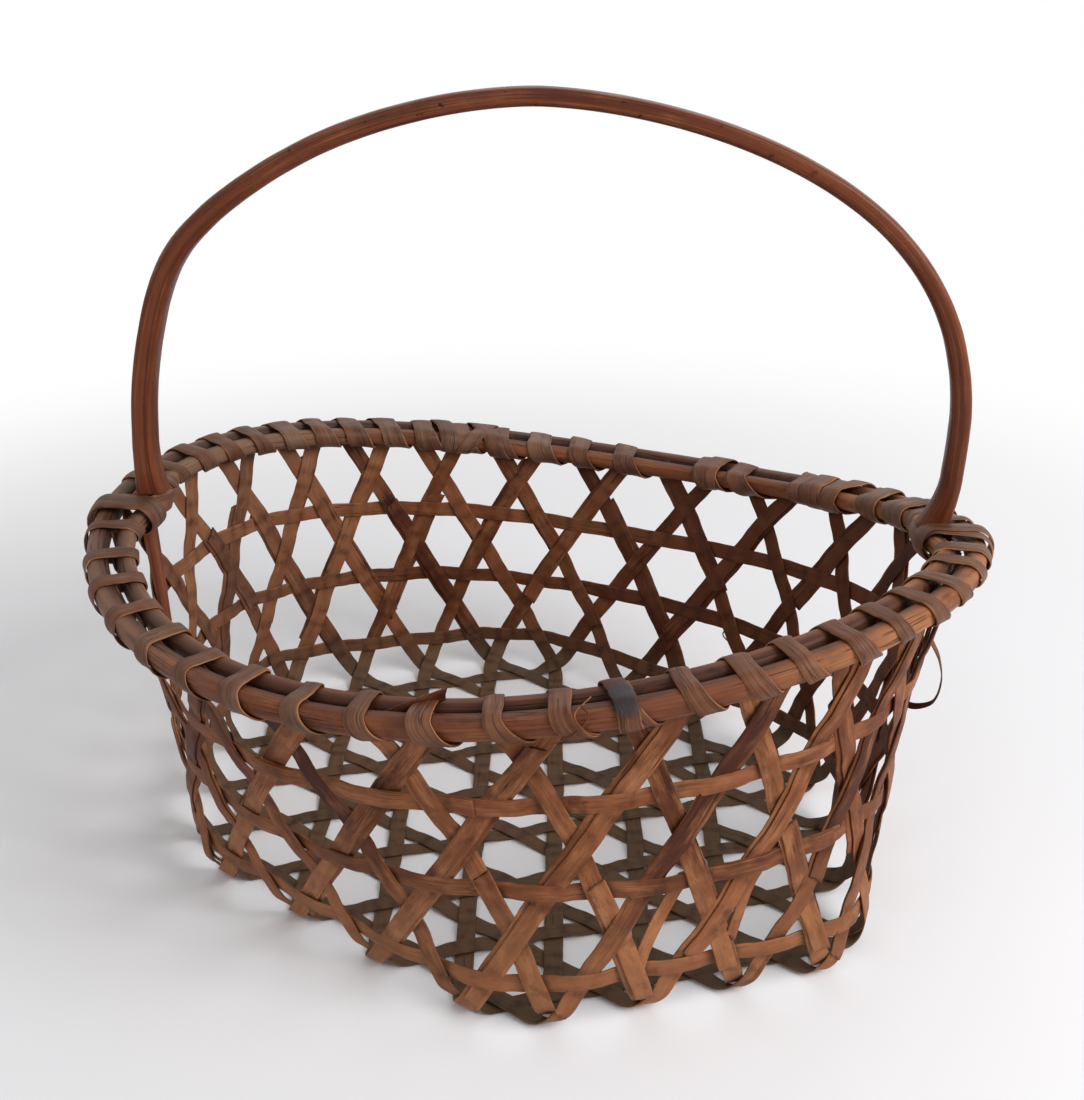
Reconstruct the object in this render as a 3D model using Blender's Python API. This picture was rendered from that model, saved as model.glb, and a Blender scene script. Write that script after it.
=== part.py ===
# Ash splint gathering basket: open hexagonal weave, two lashed rim rods and a fixed bent handle.
# Metres, +Z up, resting on the underside of its floor splints, with the handle's feet along X.
import math

import bpy
import numpy as np

# The weave: every cell of the floor is one step of the two side vectors.
SIDE_LENGTH_FRONT_BACK = 0.0440
SIDE_LENGTH_SLANT = 0.0451
TURN_FRONT_BACK = math.radians(98)
TURN_SLANT = math.radians(23)
CELLS_ACROSS_SIDE = 4
SPLINTS_IN_FAMILY = 2 * CELLS_ACROSS_SIDE
COLUMNS = 6 * CELLS_ACROSS_SIDE
SPLINT_WIDTH = 0.0090
SPLINT_THICK = 0.0010
WEAVE_GAP = 0.0005
FLAT_MARGIN = 0.0003
FOLD_EXTRA = 0.00090
CORNER_EXTRA = 0.00180
FIRST_ROW_EXTRA = 0.00030

# The wall: rows of cells from the fold up to the middle of the rim rods.
ROWS_TO_RIM = 3.6
HOOP_ROWS = (0.5, 1.5, 2.5)
HOOP_STARTS_INSIDE = (True, False, True)
LAST_CROSSING_ROW = 3
SPLINT_TOP_ROW = 3.62
WALL_SWELL = 0.0070
ROUNDING_AT_FOLD = 0.5
ROUNDING_PER_ROW = 0.7
ROUNDING_SAMPLES = 15
FOLD_REACH = 0.6
FOLD_STRETCH = 1.06

# The rim: an oval, warped up beside the handle's feet and down between them.
RIM_HALF_LENGTH = 0.2140
RIM_HALF_WIDTH = 0.1747
RIM_SHIFT_X = 0.0080
RIM_SHIFT_Y = 0.0025
RIM_TURN = math.radians(5.4)
RIM_SPREAD_EVEN = math.radians(-3.2)
RIM_SPREAD_SKEW = math.radians(1.5)
RIM_SPREAD_SIDE = math.radians(1.0)
RIM_HEIGHT = 0.1690
RIM_WARP = 0.0150
RIM_WARP_PEAK = math.radians(-23)
RIM_TILT = 0.0086
RIM_TILT_TURN = math.radians(10)

# The two rods, and the slot between them that holds the splint ends.
OUTER_ROD_RADIUS = 0.0053
INNER_ROD_RADIUS = 0.0047
SLOT_HALF = 0.0017
ROD_STATIONS = 4 * COLUMNS
ROD_SIDES = 8

# The lashing: one flat splint wound over both rods, once in every weave opening.
LASH_WIDTH = 0.0074
LASH_THICK = 0.0010
LASH_CLEAR = 0.0008
LASH_START = 10.0
LASH_TURN = -0.5
LASH_CORNERS = (-67.5, -22.5, 22.5, 67.5, 112.5, 157.5, 202.5, 247.5)
LASH_TOP_CORNERS = (67.5, 112.5)
LASH_FOOT_CORNERS = (-67.5, -45, -22.5, 0, 22.5, 45, 67.5,
                     112.5, 129, 146, 163, 180, 197, 214, 231, 247.5)
LASH_HALF_CORNER = math.radians(22.5)
LASH_FOOT_MISS = 0.31
LASH_FOOT_SLOPE = 0.6
LASH_FOOT_EXTRA = 0.0003
LASH_STRAIGHT = -0.12
LASH_ROW = 3.47

# The handle: tails inside the wall, a shoulder over the rim, then a bent bow.
FOOT_COLUMNS = (18.0, 6.0)
TAIL_ROW = 2.25
TAIL_TOP_ROW = 3.45
TAIL_WIDTH = 0.0090
TAIL_THICK = 0.0030
NECK_WIDTH = 0.0130
NECK_THICK = 0.0060
SHOULDER_WIDTH = 0.0125
SHOULDER_THICK = 0.0165
SHOULDER_INSET = 0.0125
SHOULDER_RISE = 0.0075
SHOULDER_UNDER = 0.0017
FLARE_THICK = 0.0115
FLARE_RISE = 0.0220
BOW_RISE = 0.0370
BOW_WIDTH = 0.0105
BOW_THICK = 0.0084
FOOT_GAP = 0.0008
BOW_HALF_SPAN = 0.2068
BOW_SHIFT = 0.0037
BOW_SPRINGS = (0.1791, 0.1999)
BOW_TOP = 0.3879
BOW_POWER_ALONG = 1.74
BOW_POWER_UP = 3.05
BOW_STATIONS = 30
CORNER_SHARE = 0.62
ROD_BOW_REACH = 0.85

WOODS = {
    "front_back_splint": ((0.215, 0.120, 0.072), 0.70),
    "right_slant_splint": ((0.200, 0.108, 0.066), 0.70),
    "left_slant_splint": ((0.185, 0.102, 0.062), 0.70),
    "hoop": ((0.205, 0.110, 0.066), 0.68),
    "rim_rod": ((0.230, 0.125, 0.075), 0.60),
    "rim_lashing": ((0.190, 0.125, 0.090), 0.62),
    "handle": ((0.110, 0.032, 0.018), 0.38),
}


def clear_scene():
    for obj in list(bpy.data.objects):
        bpy.data.objects.remove(obj)


def unit(vector):
    return vector / np.linalg.norm(vector)


def polar(length, turn):
    return np.array([length * math.cos(turn), length * math.sin(turn)])


SLANT = polar(SIDE_LENGTH_SLANT, TURN_SLANT)
UPRIGHT = polar(SIDE_LENGTH_FRONT_BACK, TURN_FRONT_BACK)
FLOOR_NORMAL = np.array([0, 0, -1])


def floor_outline(column):
    """Point of the six-sided floor outline, with column 0 at the front corner, counter-clockwise."""
    sides = (SLANT, UPRIGHT, UPRIGHT - SLANT, -SLANT, -UPRIGHT, SLANT - UPRIGHT)
    point = -CELLS_ACROSS_SIDE * UPRIGHT
    left = column % COLUMNS
    for side in sides:
        step = min(left, CELLS_ACROSS_SIDE)
        point = point + step * side
        left -= step
    return point


def rounded_outline(column, row):
    """The floor outline with its corners eased, more so higher up the wall."""
    reach = ROUNDING_AT_FOLD + ROUNDING_PER_ROW * row
    offsets = np.linspace(-reach, reach, ROUNDING_SAMPLES)
    return np.mean([floor_outline(column + offset) for offset in offsets], axis=0)


def rim_point(column):
    base = math.radians(360 * column / COLUMNS - 90)
    turn = base + RIM_TURN + RIM_SPREAD_EVEN * math.cos(2 * base)
    turn += RIM_SPREAD_SKEW * math.sin(2 * base)
    turn += RIM_SPREAD_SIDE * (math.cos(base) + math.sin(base))
    height = RIM_HEIGHT + RIM_WARP * math.cos(2 * (turn - RIM_WARP_PEAK))
    height -= RIM_TILT * math.sin(turn - RIM_TILT_TURN)
    across = RIM_SHIFT_X + RIM_HALF_LENGTH * math.cos(turn)
    return np.array([across, RIM_SHIFT_Y + RIM_HALF_WIDTH * math.sin(turn), height])


def wall_point(column, row):
    """Mid-surface of the wall: row 0 is the fold, ROWS_TO_RIM the middle of the rods."""
    share = row / ROWS_TO_RIM
    top = rim_point(column)
    plan = rounded_outline(column, row) * (1 - share) + top[:2] * share
    rise = top[2] * share + WALL_SWELL * share * (1 - share)
    return np.array([plan[0], plan[1], rise])


def along_wall(column, row):
    step = 1 / COLUMNS
    return unit(wall_point(column + step, row) - wall_point(column - step, row))


class Splint:
    """One floor splint: its straight run over the floor and its two ends up the wall."""

    def __init__(self, offset, turn):
        self.side = 1 if offset > 0 else -1
        self.steps = int(4 * CELLS_ACROSS_SIDE - 2 * abs(offset))
        self.first = turn + offset
        self.last = turn + COLUMNS / 2 - offset

    def column_row(self, index):
        """Column and row of the wall for an index beyond the floor; a step is half a cell."""
        if index < 0:
            row = -index / 2
            return self.first - self.side * row / 2, row
        row = (index - self.steps) / 2
        return self.last + self.side * row / 2, row

    def bare(self, index):
        if 0 <= index <= self.steps:
            share = index / self.steps
            plan = floor_outline(self.first) * (1 - share) + floor_outline(self.last) * share
            return np.array([plan[0], plan[1], 0])
        return wall_point(*self.column_row(index))

    def point(self, index):
        """The path with its two folds rounded."""
        for fold in (0, self.steps):
            reach = index - fold
            if abs(reach) < FOLD_REACH:
                share = (reach + FOLD_REACH) / (2 * FOLD_REACH)
                before, after = self.bare(fold - FOLD_REACH), self.bare(fold + FOLD_REACH)
                middle = self.bare(fold)
                return ((1 - share) ** 2 * before + 2 * share * (1 - share) * middle
                        + share ** 2 * after)
        return self.bare(index)

    def heading(self, index):
        step = 1 / COLUMNS
        return unit(self.point(index + step) - self.point(index - step))

    def edge_direction(self, index):
        if index < self.steps / 2:
            return along_wall(*(self.column_row(index) if index < 0 else (self.first, 0)))
        return -along_wall(*(self.column_row(index) if index > self.steps else (self.last, 0)))

    def outward(self, index):
        if FOLD_REACH < index < self.steps - FOLD_REACH:
            return FLOOR_NORMAL
        return unit(np.cross(self.heading(index), self.edge_direction(index)))

    def partner(self, index):
        """Direction of what this splint crosses at a whole index."""
        if 0 < index < self.steps:
            return None
        column, row = self.column_row(index)
        if index in (0, self.steps):
            edge = along_wall(self.first if index == 0 else self.last, 0)
            heading = self.heading(index)
            return unit(2 * heading.dot(edge) * edge - heading)
        if (2 * row) % 2:
            return along_wall(column, row)
        step = 1 / COLUMNS
        lean = self.side / 2 * (1 if index < 0 else -1) * step
        return unit(wall_point(column + lean, row + step) - wall_point(column - lean, row - step))

    def above_fold(self, index):
        """Directions of this splint and its partner where both leave a fold up the wall."""
        column = self.first if index == 0 else self.last
        step = 1 / COLUMNS
        foot = wall_point(column, 0)
        leans = (step / 2, -step / 2)
        return [unit(wall_point(column + lean, step) - foot) for lean in leans]

    def beside_corner(self, index):
        """Whether a fold is the one next to a corner of the floor."""
        column = (self.first if index == 0 else self.last) % CELLS_ACROSS_SIDE
        return min(column, CELLS_ACROSS_SIDE - column) < 1

    def layer(self, index):
        """+1 where the splint lies outside what it crosses, -1 where inside."""
        return -self.side * (1 - 2 * (int(index) % 2))


def crossing_reach(heading, partner):
    """How far along a splint the overlap with its partner goes from the crossing's middle."""
    cosine = abs(float(heading.dot(partner)))
    sine = math.sqrt(1 - cosine ** 2)
    return SPLINT_WIDTH / 2 * (1 + cosine) / sine + FLAT_MARGIN


def floor_partner(index, family, layer):
    """The two other families of the floor take turns: outside one, inside the other."""
    plan = FAMILIES[(family + (1 if layer > 0 else 2)) % 3][2]
    return np.array([*unit(plan), 0])


FAMILIES = (
    ("front_back_splint", 0, UPRIGHT),
    ("right_slant_splint", -CELLS_ACROSS_SIDE, SLANT),
    ("left_slant_splint", CELLS_ACROSS_SIDE, UPRIGHT - SLANT),
)
HALF_LAYER = (SPLINT_THICK + WEAVE_GAP) / 2


def strip_ring(centre, outward, heading, width, thick):
    """Four corners of a flat strip's cross section."""
    across = unit(np.cross(outward, heading)) * width / 2
    up = unit(np.cross(heading, across)) * thick / 2
    up = up if up.dot(outward) > 0 else -up
    return [centre - across - up, centre + across - up, centre + across + up, centre - across + up]


def splint_rings(splint, family):
    """Two stations at every crossing, four at a fold, so the strip passes flat over its partner."""
    wall_steps = 2 * LAST_CROSSING_ROW
    top_steps = 2 * SPLINT_TOP_ROW
    stations = [(-top_steps, 0)]
    for index in range(-wall_steps, splint.steps + wall_steps + 1):
        layer = splint.layer(index)
        heading = splint.heading(index)
        partner = splint.partner(index)
        if partner is None:
            partner = floor_partner(index, family, layer)
        step = 1 / COLUMNS
        speed = np.linalg.norm(splint.point(index + step) - splint.point(index - step)) / (2 * step)
        fold = index in (0, splint.steps)
        reach = crossing_reach(heading, partner) / speed
        if fold:
            reach = max(reach, crossing_reach(*splint.above_fold(index)) / speed) * FOLD_STRETCH
        extra = 0
        if fold and layer < 0:
            extra = CORNER_EXTRA if splint.beside_corner(index) else FOLD_EXTRA
        elif index in (-2, splint.steps + 2):
            extra = FIRST_ROW_EXTRA
        lift = layer * (HALF_LAYER + extra)
        shares = (-1, -1 / 3, 1 / 3, 1) if fold else (-1, 1)
        stations += [(index + share * reach, lift) for share in shares]
    stations.append((splint.steps + top_steps, 0))
    rings = []
    for index, lift in stations:
        outward = splint.outward(index)
        centre = splint.point(index) + outward * lift
        rings.append(strip_ring(centre, outward, splint.heading(index), SPLINT_WIDTH, SPLINT_THICK))
    return rings


def wall_outward(column, row):
    step = 1 / COLUMNS
    up = wall_point(column, row + step) - wall_point(column, row - step)
    return unit(np.cross(along_wall(column, row), up))


def hoop_rings(row):
    """A level splint that passes over one slanted splint and under the next."""
    rings = []
    for half in range(2 * COLUMNS):
        column = half / 2 + 1 / 4
        inside = (half % 2 == 0) == HOOP_STARTS_INSIDE[HOOP_ROWS.index(row)]
        edge = along_wall(column, row)
        up = unit(wall_point(column, row + 1 / 4) - wall_point(column, row - 1 / 4))
        slant = unit(wall_point(column + 1 / 8, row + 1 / 4) - wall_point(column - 1 / 8, row - 1 / 4))
        speed = np.linalg.norm(wall_point(column + 1 / 8, row) - wall_point(column - 1 / 8, row)) * 4
        reach = crossing_reach(edge, slant) / speed
        ends = [wall_point(column - reach, row), wall_point(column + reach, row)]
        outward = wall_outward(column, row)
        sag = float((wall_point(column, row) - (ends[0] + ends[1]) / 2).dot(outward))
        lift = -HALF_LAYER if inside else HALF_LAYER + max(sag, 0)
        for end in ends:
            centre = end + outward * lift
            rings.append(strip_ring(centre, outward, edge, SPLINT_WIDTH, SPLINT_THICK))
    return rings


def foot_share(column):
    """1 at a handle foot, falling to 0 a rod's bow away from it."""
    away = min(abs((column - foot + COLUMNS / 2) % COLUMNS - COLUMNS / 2) for foot in FOOT_COLUMNS)
    return (1 + math.cos(math.pi * min(away / ROD_BOW_REACH, 1))) / 2


def rim_frame(column):
    """Middle of the rim bundle, level outward direction and level direction along the rods."""
    edge = along_wall(column, ROWS_TO_RIM)
    outward = unit(np.array([edge[1], -edge[0], 0]))
    return wall_point(column, ROWS_TO_RIM), outward, edge


def outer_rod_offset(_):
    return SLOT_HALF + OUTER_ROD_RADIUS


def inner_rod_offset(column):
    spread = SPLINT_THICK + HALF_LAYER + NECK_THICK + 2 * FOOT_GAP - SLOT_HALF
    return -(SLOT_HALF + INNER_ROD_RADIUS + spread * foot_share(column))


def rod_frame(column, offset_of):
    """Middle of a rod, and its outward and upward directions square to the rod."""
    step = 1 / COLUMNS
    ends = []
    for beside in (column - step, column, column + step):
        middle, outward, _ = rim_frame(beside)
        ends.append(middle + outward * offset_of(beside))
    heading = unit(ends[2] - ends[0])
    outward = rim_frame(column)[1]
    outward = unit(outward - heading * outward.dot(heading))
    return ends[1], outward, unit(np.cross(outward, heading))


def rod_rings(offset_of, radius):
    rings = []
    for number in range(ROD_STATIONS):
        centre, outward, up = rod_frame(COLUMNS * number / ROD_STATIONS, offset_of)
        ring = []
        for side in range(ROD_SIDES):
            turn = 2 * math.pi * (side + 1 / 2) / ROD_SIDES
            ring.append(centre + radius * (math.cos(turn) * outward + math.sin(turn) * up))
        rings.append(ring)
    return rings


def lash_bottoms():
    """Columns where the lashing passes under the rods; a handle foot fills its own opening."""
    turns = round(COLUMNS / abs(LASH_TURN))
    columns = [LASH_START + LASH_TURN * number for number in range(turns)]
    return [column for column in columns if column % COLUMNS not in FOOT_COLUMNS]


def eased(start, end, start_slope, end_slope, share):
    """Smooth curve between two values with a set slope at each end."""
    rest = 1 - share
    value = start * rest ** 2 * (1 + 2 * share) + end * share ** 2 * (1 + 2 * rest)
    return value + start_slope * share * rest ** 2 - end_slope * share ** 2 * rest


def centred(column):
    """Column of the rods right above the middle of a weave opening."""
    step = 1 / COLUMNS
    middle, _, edge = rim_frame(column)
    up = rod_frame(column, lambda _: 0)[2]
    below = middle - up * (OUTER_ROD_RADIUS + LASH_CLEAR)
    width = np.linalg.norm(rim_frame(column + step)[0] - rim_frame(column - step)[0]) / (2 * step)
    return column + float((wall_point(column, LASH_ROW) - below).dot(edge)) / width


def lash_top(here, there):
    """Column where one turn crosses over the rods: midway, but close beside a handle foot."""
    for foot in FOOT_COLUMNS:
        away = (here - foot) % COLUMNS
        if away < here - there:
            return here - away + LASH_FOOT_MISS
    return (centred(here) + centred(there)) / 2


def passes_foot(here, there):
    return here - there > abs(LASH_TURN)


def lash_column(here, there, share, shares):
    """Column at a share of one turn: it crosses square over the top and leans on both sides."""
    top = lash_top(here, there)
    rising, falling = shares
    if share <= rising:
        return eased(centred(here), top, LASH_STRAIGHT * rising, 0, share / rising)
    if share <= falling[0]:
        return top
    end = centred(there)
    if passes_foot(here, there):
        part = (share - falling[0]) / (falling[1] - falling[0])
        slope = LASH_FOOT_SLOPE * (end - top)
        return eased(top, end, slope, slope, part)
    rest = 1 - falling[0]
    return eased(top, end, 0, LASH_STRAIGHT * rest, (share - falling[0]) / rest)


def lash_reach(corner, fine):
    """Distance of the strip's middle from a rod's middle at a corner of its path."""
    radius = OUTER_ROD_RADIUS if abs(corner) < 90 else INNER_ROD_RADIUS
    reach = radius + LASH_CLEAR + LASH_THICK / 2
    return reach + LASH_FOOT_EXTRA if fine else reach / math.cos(LASH_HALF_CORNER)


def lash_section(column, corner, fine):
    """Corner of the path round both rods, and its outward direction."""
    turn = math.radians(corner)
    centre, outward, up = rod_frame(column, outer_rod_offset if abs(corner) < 90 else inner_rod_offset)
    normal = math.cos(turn) * outward + math.sin(turn) * up
    return centre + lash_reach(corner, fine) * normal, normal


def corner_shares(corners, fine):
    """Share of one turn's length at each corner, from below the rods and round the outside."""
    points = []
    for corner in corners:
        offset = SLOT_HALF + OUTER_ROD_RADIUS if abs(corner) < 90 else -(SLOT_HALF + INNER_ROD_RADIUS)
        turn = math.radians(corner)
        reach = lash_reach(corner, fine)
        points.append(np.array([offset + reach * math.cos(turn), reach * math.sin(turn)]))
    start = np.array([0, (points[0][1] + points[-1][1]) / 2])
    lengths = np.cumsum([np.linalg.norm(b - a) for a, b in zip([start, *points], [*points, start])])
    return lengths[:-1] / lengths[-1]


def lash_rings():
    """The whole lashing: its rings, and how many turns it has made at each."""
    bottoms = lash_bottoms()
    path, turns = [], []
    for number, (here, there) in enumerate(zip(bottoms, bottoms[1:])):
        fine = passes_foot(here, there)
        corners = LASH_FOOT_CORNERS if fine else LASH_CORNERS
        shares = corner_shares(corners, fine)
        rising, falling = (shares[corners.index(corner)] for corner in LASH_TOP_CORNERS)
        for corner, share in zip(corners, shares):
            column = lash_column(here, there, share, (rising, (falling, shares[-1])))
            path.append(lash_section(column, corner, fine))
            turns.append(number + share)
    rings = []
    for number, (centre, normal) in enumerate(path):
        before = path[max(number - 1, 0)][0]
        after = path[min(number + 1, len(path) - 1)][0]
        heading = unit(after - before)
        rings.append(strip_ring(centre, normal, heading, LASH_WIDTH, LASH_THICK))
    return rings, turns


def handle_frame():
    """Middle between the feet on the rim, and the level direction from left foot to right."""
    left, right = (rim_point(column) for column in FOOT_COLUMNS)
    along = unit(np.array([right[0] - left[0], right[1] - left[1], 0]))
    return (left + right) / 2, along


def foot_point(column, row, thick):
    """Middle of the handle's tail or neck, just inside the woven wall."""
    inset = HALF_LAYER + SPLINT_THICK / 2 + FOOT_GAP + thick / 2
    outward = wall_outward(column, row)
    if row >= TAIL_TOP_ROW:
        outward = rim_frame(column)[1]
    return wall_point(column, row) - outward * inset


def handle_side(column):
    """Stations of one tail and shoulder, from the tip up: centre, width, thickness, and if level."""
    stations = []
    for row, width, thick in (
        (TAIL_ROW, TAIL_WIDTH, TAIL_THICK),
        ((TAIL_ROW + TAIL_TOP_ROW) / 2, (TAIL_WIDTH + NECK_WIDTH) / 2, (TAIL_THICK + NECK_THICK) / 2),
        (TAIL_TOP_ROW, NECK_WIDTH, NECK_THICK),
    ):
        stations.append((foot_point(column, row, thick), width, thick, False))
    neck = foot_point(column, ROWS_TO_RIM, NECK_THICK)
    middle, outward, _ = rim_frame(column)
    shoulder = middle - outward * SHOULDER_INSET
    start = bow_point(0 if column == FOOT_COLUMNS[0] else 1)
    share = (FLARE_RISE - SHOULDER_RISE) / (BOW_RISE - SHOULDER_RISE)
    flare = shoulder * (1 - share) + start * share
    for centre, rise, width, thick in (
        (neck, 0, NECK_WIDTH, NECK_THICK),
        (neck, SHOULDER_RISE - SHOULDER_UNDER, NECK_WIDTH, NECK_THICK),
        (shoulder, SHOULDER_RISE, SHOULDER_WIDTH, SHOULDER_THICK),
        (flare, FLARE_RISE, (SHOULDER_WIDTH + BOW_WIDTH) / 2, FLARE_THICK),
    ):
        stations.append((np.array([centre[0], centre[1], middle[2] + rise]), width, thick, True))
    return stations


def bow_point(share):
    """Middle of the bent bow in the upright plane through both feet, from left leg to right."""
    middle, along = handle_frame()
    side = 0 if share <= 1 / 2 else 1
    height = BOW_TOP - BOW_SPRINGS[side]
    foot = rim_point(FOOT_COLUMNS[side])[2] + BOW_RISE
    first = math.asin(((foot - BOW_SPRINGS[side]) / height) ** (BOW_POWER_UP / 2))
    turn = first + (math.pi / 2 - first) * (1 - abs(2 * share - 1))
    reach = math.cos(turn) ** (2 / BOW_POWER_ALONG) * BOW_HALF_SPAN * (2 * side - 1)
    centre = np.array([middle[0], middle[1], 0]) + along * (reach + BOW_SHIFT)
    centre[2] = BOW_SPRINGS[side] + math.sin(turn) ** (2 / BOW_POWER_UP) * height
    return centre


def handle_rings():
    _, along = handle_frame()
    across = np.cross(along, np.array([0, 0, 1]))
    left, right = (handle_side(column) for column in FOOT_COLUMNS)
    bow = []
    for number in range(BOW_STATIONS + 1):
        bow.append((bow_point(number / BOW_STATIONS), BOW_WIDTH, BOW_THICK, False))
    stations = left + bow + right[::-1]
    rings = []
    for number, (centre, width, thick, level) in enumerate(stations):
        before = stations[max(number - 1, 0)][0]
        after = stations[min(number + 1, len(stations) - 1)][0]
        rising = np.array([0, 0, 1 if number < len(stations) / 2 else -1])
        heading = rising if level else unit(after - before)
        out = unit(np.cross(heading, across))
        half_width, half_thick = across * width / 2, out * thick / 2
        cut = CORNER_SHARE
        corners = ((-1, -cut), (-cut, -1), (cut, -1), (1, -cut), (1, cut), (cut, 1), (-cut, 1), (-1, cut))
        rings.append([centre + a * half_width + b * half_thick for a, b in corners])
    return rings


def split_quad(quad, side):
    """Two triangles whose shared edge runs along the strip's twist, so it bends round the rods."""
    a, b, c, d = quad
    return [(a, b, d), (b, c, d)] if side == 0 else [(a, b, c), (a, c, d)]


def solid(name, rings, closed, wood, smooth):
    """One closed body from rings of points, capped at both ends unless the rings close."""
    count, sides = len(rings), len(rings[0])
    points = np.array(rings).reshape(-1, 3)
    faces = []
    for ring in range(count if closed else count - 1):
        after = (ring + 1) % count
        for side in range(sides):
            beside = (side + 1) % sides
            here, there = ring * sides, after * sides
            quad = (here + side, here + beside, there + beside, there + side)
            faces += split_quad(quad, side) if wood == "rim_lashing" else [quad]
    if not closed:
        faces.append(tuple(range(sides - 1, -1, -1)))
        faces.append(tuple(range((count - 1) * sides, count * sides)))
    fans = [(face[0], face[k], face[k + 1]) for face in faces for k in range(1, len(face) - 1)]
    volume = sum(float(points[a].dot(np.cross(points[b], points[c]))) for a, b, c in fans)
    if volume < 0:
        faces = [face[::-1] for face in faces]
    mesh = bpy.data.meshes.new(name)
    mesh.from_pydata((points - SHIFT).tolist(), [], faces)
    mesh.update()
    if smooth:
        mesh.shade_smooth()
    obj = bpy.data.objects.new(name, mesh)
    bpy.context.scene.collection.objects.link(obj)
    mesh.materials.append(wood_material(name, wood))
    return obj


def wood_material(name, wood):
    colour, roughness = WOODS[wood]
    material = bpy.data.materials.new(name)
    material.use_nodes = True
    shader = material.node_tree.nodes["Principled BSDF"]
    shader.inputs["Base Color"].default_value = (*colour, 1)
    shader.inputs["Roughness"].default_value = roughness
    shader.inputs["Metallic"].default_value = 0
    material.diffuse_color = (*colour, 1)
    return material


def segment_gap(first, second):
    """Least distance between two runs of points, measured on the points."""
    gaps = np.linalg.norm(first[:, None, :] - second[None, :, :], axis=2)
    return float(gaps.min())


def lash_least_gap(rings, turns):
    """Least gap between neighbouring turns, on points spread along every edge of the strip."""
    dense, places = [], []
    for number in range(len(rings) - 1):
        for share in np.linspace(0, 1, 5)[:-1]:
            both = np.array(rings[number]) * (1 - share) + np.array(rings[number + 1]) * share
            dense.append(np.concatenate([both, (both + np.roll(both, 1, axis=0)) / 2]))
            places.append(turns[number] * (1 - share) + turns[number + 1] * share)
    dense, places = np.array(dense), np.array(places)
    least = None
    for points, place in zip(dense, places):
        beyond = dense[(places > place + 1 / 2) & (places < place + 2)]
        if len(beyond):
            gap = segment_gap(points, beyond.reshape(-1, 3))
            least = gap if least is None else min(least, gap)
    return least


def all_parts():
    """Name, rings, whether closed, wood and smooth shading of every piece."""
    parts = []
    for family, (name, turn, _) in enumerate(FAMILIES):
        for number in range(SPLINTS_IN_FAMILY):
            offset = number - (SPLINTS_IN_FAMILY - 1) / 2
            rings = splint_rings(Splint(offset, turn), family)
            parts.append((f"{name}_{number + 1}", rings, False, name, False))
    for name, row in zip(("lower", "middle", "upper"), HOOP_ROWS):
        parts.append((f"hoop_{name}", hoop_rings(row), True, "hoop", False))
    parts.append(("rim_rod_outer", rod_rings(outer_rod_offset, OUTER_ROD_RADIUS), True, "rim_rod", True))
    parts.append(("rim_rod_inner", rod_rings(inner_rod_offset, INNER_ROD_RADIUS), True, "rim_rod", True))
    parts.append(("rim_lashing", lash_rings()[0], False, "rim_lashing", False))
    parts.append(("handle", handle_rings(), False, "handle", True))
    return parts


clear_scene()
PARTS = all_parts()
EVERY = np.concatenate([np.array(part[1]).reshape(-1, 3) for part in PARTS])
LOW, HIGH = EVERY.min(axis=0), EVERY.max(axis=0)
SHIFT = np.array([(LOW[0] + HIGH[0]) / 2, (LOW[1] + HIGH[1]) / 2, LOW[2]])
for PART in PARTS:
    solid(*PART)
print("rim lashing: least gap between turns", round(lash_least_gap(*lash_rings()) * 1000, 2), "mm")
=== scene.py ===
"""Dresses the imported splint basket: fine woven splints, rim rods, lashing, handle and finishes.

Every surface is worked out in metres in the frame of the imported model. A place on the wall is a
column (24 round the basket) and a row (0 at the fold, 3.6 at the middle of the rim rods).
"""

import logging
import math
from dataclasses import dataclass, field
from enum import Enum
from typing import Sequence

import bpy
import numpy as np
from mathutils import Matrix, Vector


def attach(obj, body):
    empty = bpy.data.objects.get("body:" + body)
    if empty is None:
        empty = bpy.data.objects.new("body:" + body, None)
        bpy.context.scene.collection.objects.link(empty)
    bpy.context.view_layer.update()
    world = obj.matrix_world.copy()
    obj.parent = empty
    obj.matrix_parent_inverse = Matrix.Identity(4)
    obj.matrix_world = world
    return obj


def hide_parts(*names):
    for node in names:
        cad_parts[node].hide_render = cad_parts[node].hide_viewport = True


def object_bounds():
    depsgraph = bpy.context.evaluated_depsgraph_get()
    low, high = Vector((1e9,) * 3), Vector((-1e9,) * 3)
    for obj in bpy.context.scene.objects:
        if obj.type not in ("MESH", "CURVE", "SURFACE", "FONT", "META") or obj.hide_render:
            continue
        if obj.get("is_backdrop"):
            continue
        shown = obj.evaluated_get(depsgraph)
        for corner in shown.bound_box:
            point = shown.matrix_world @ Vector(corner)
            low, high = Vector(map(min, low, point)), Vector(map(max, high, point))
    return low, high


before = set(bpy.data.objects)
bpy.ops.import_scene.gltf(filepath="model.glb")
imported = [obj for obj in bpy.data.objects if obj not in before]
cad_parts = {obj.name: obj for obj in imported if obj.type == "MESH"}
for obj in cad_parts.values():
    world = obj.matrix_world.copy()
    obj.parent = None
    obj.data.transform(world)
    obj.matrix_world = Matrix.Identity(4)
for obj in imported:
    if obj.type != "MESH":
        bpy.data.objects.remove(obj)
CAD_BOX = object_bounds()

LOG = logging.getLogger("basket")
Array = np.ndarray
Pair = tuple[float, float]
Place = tuple[float, float, float]
Colour = tuple[float, float, float]
Material = bpy.types.Material
Piece = bpy.types.Object
HALF_LAYER = 0.00075    # half the distance between the two layers at a crossing
GRAIN_ALONG, GRAIN_ROUND = 40.0, 5.0    # reach of the random start of a strip's grain


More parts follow.
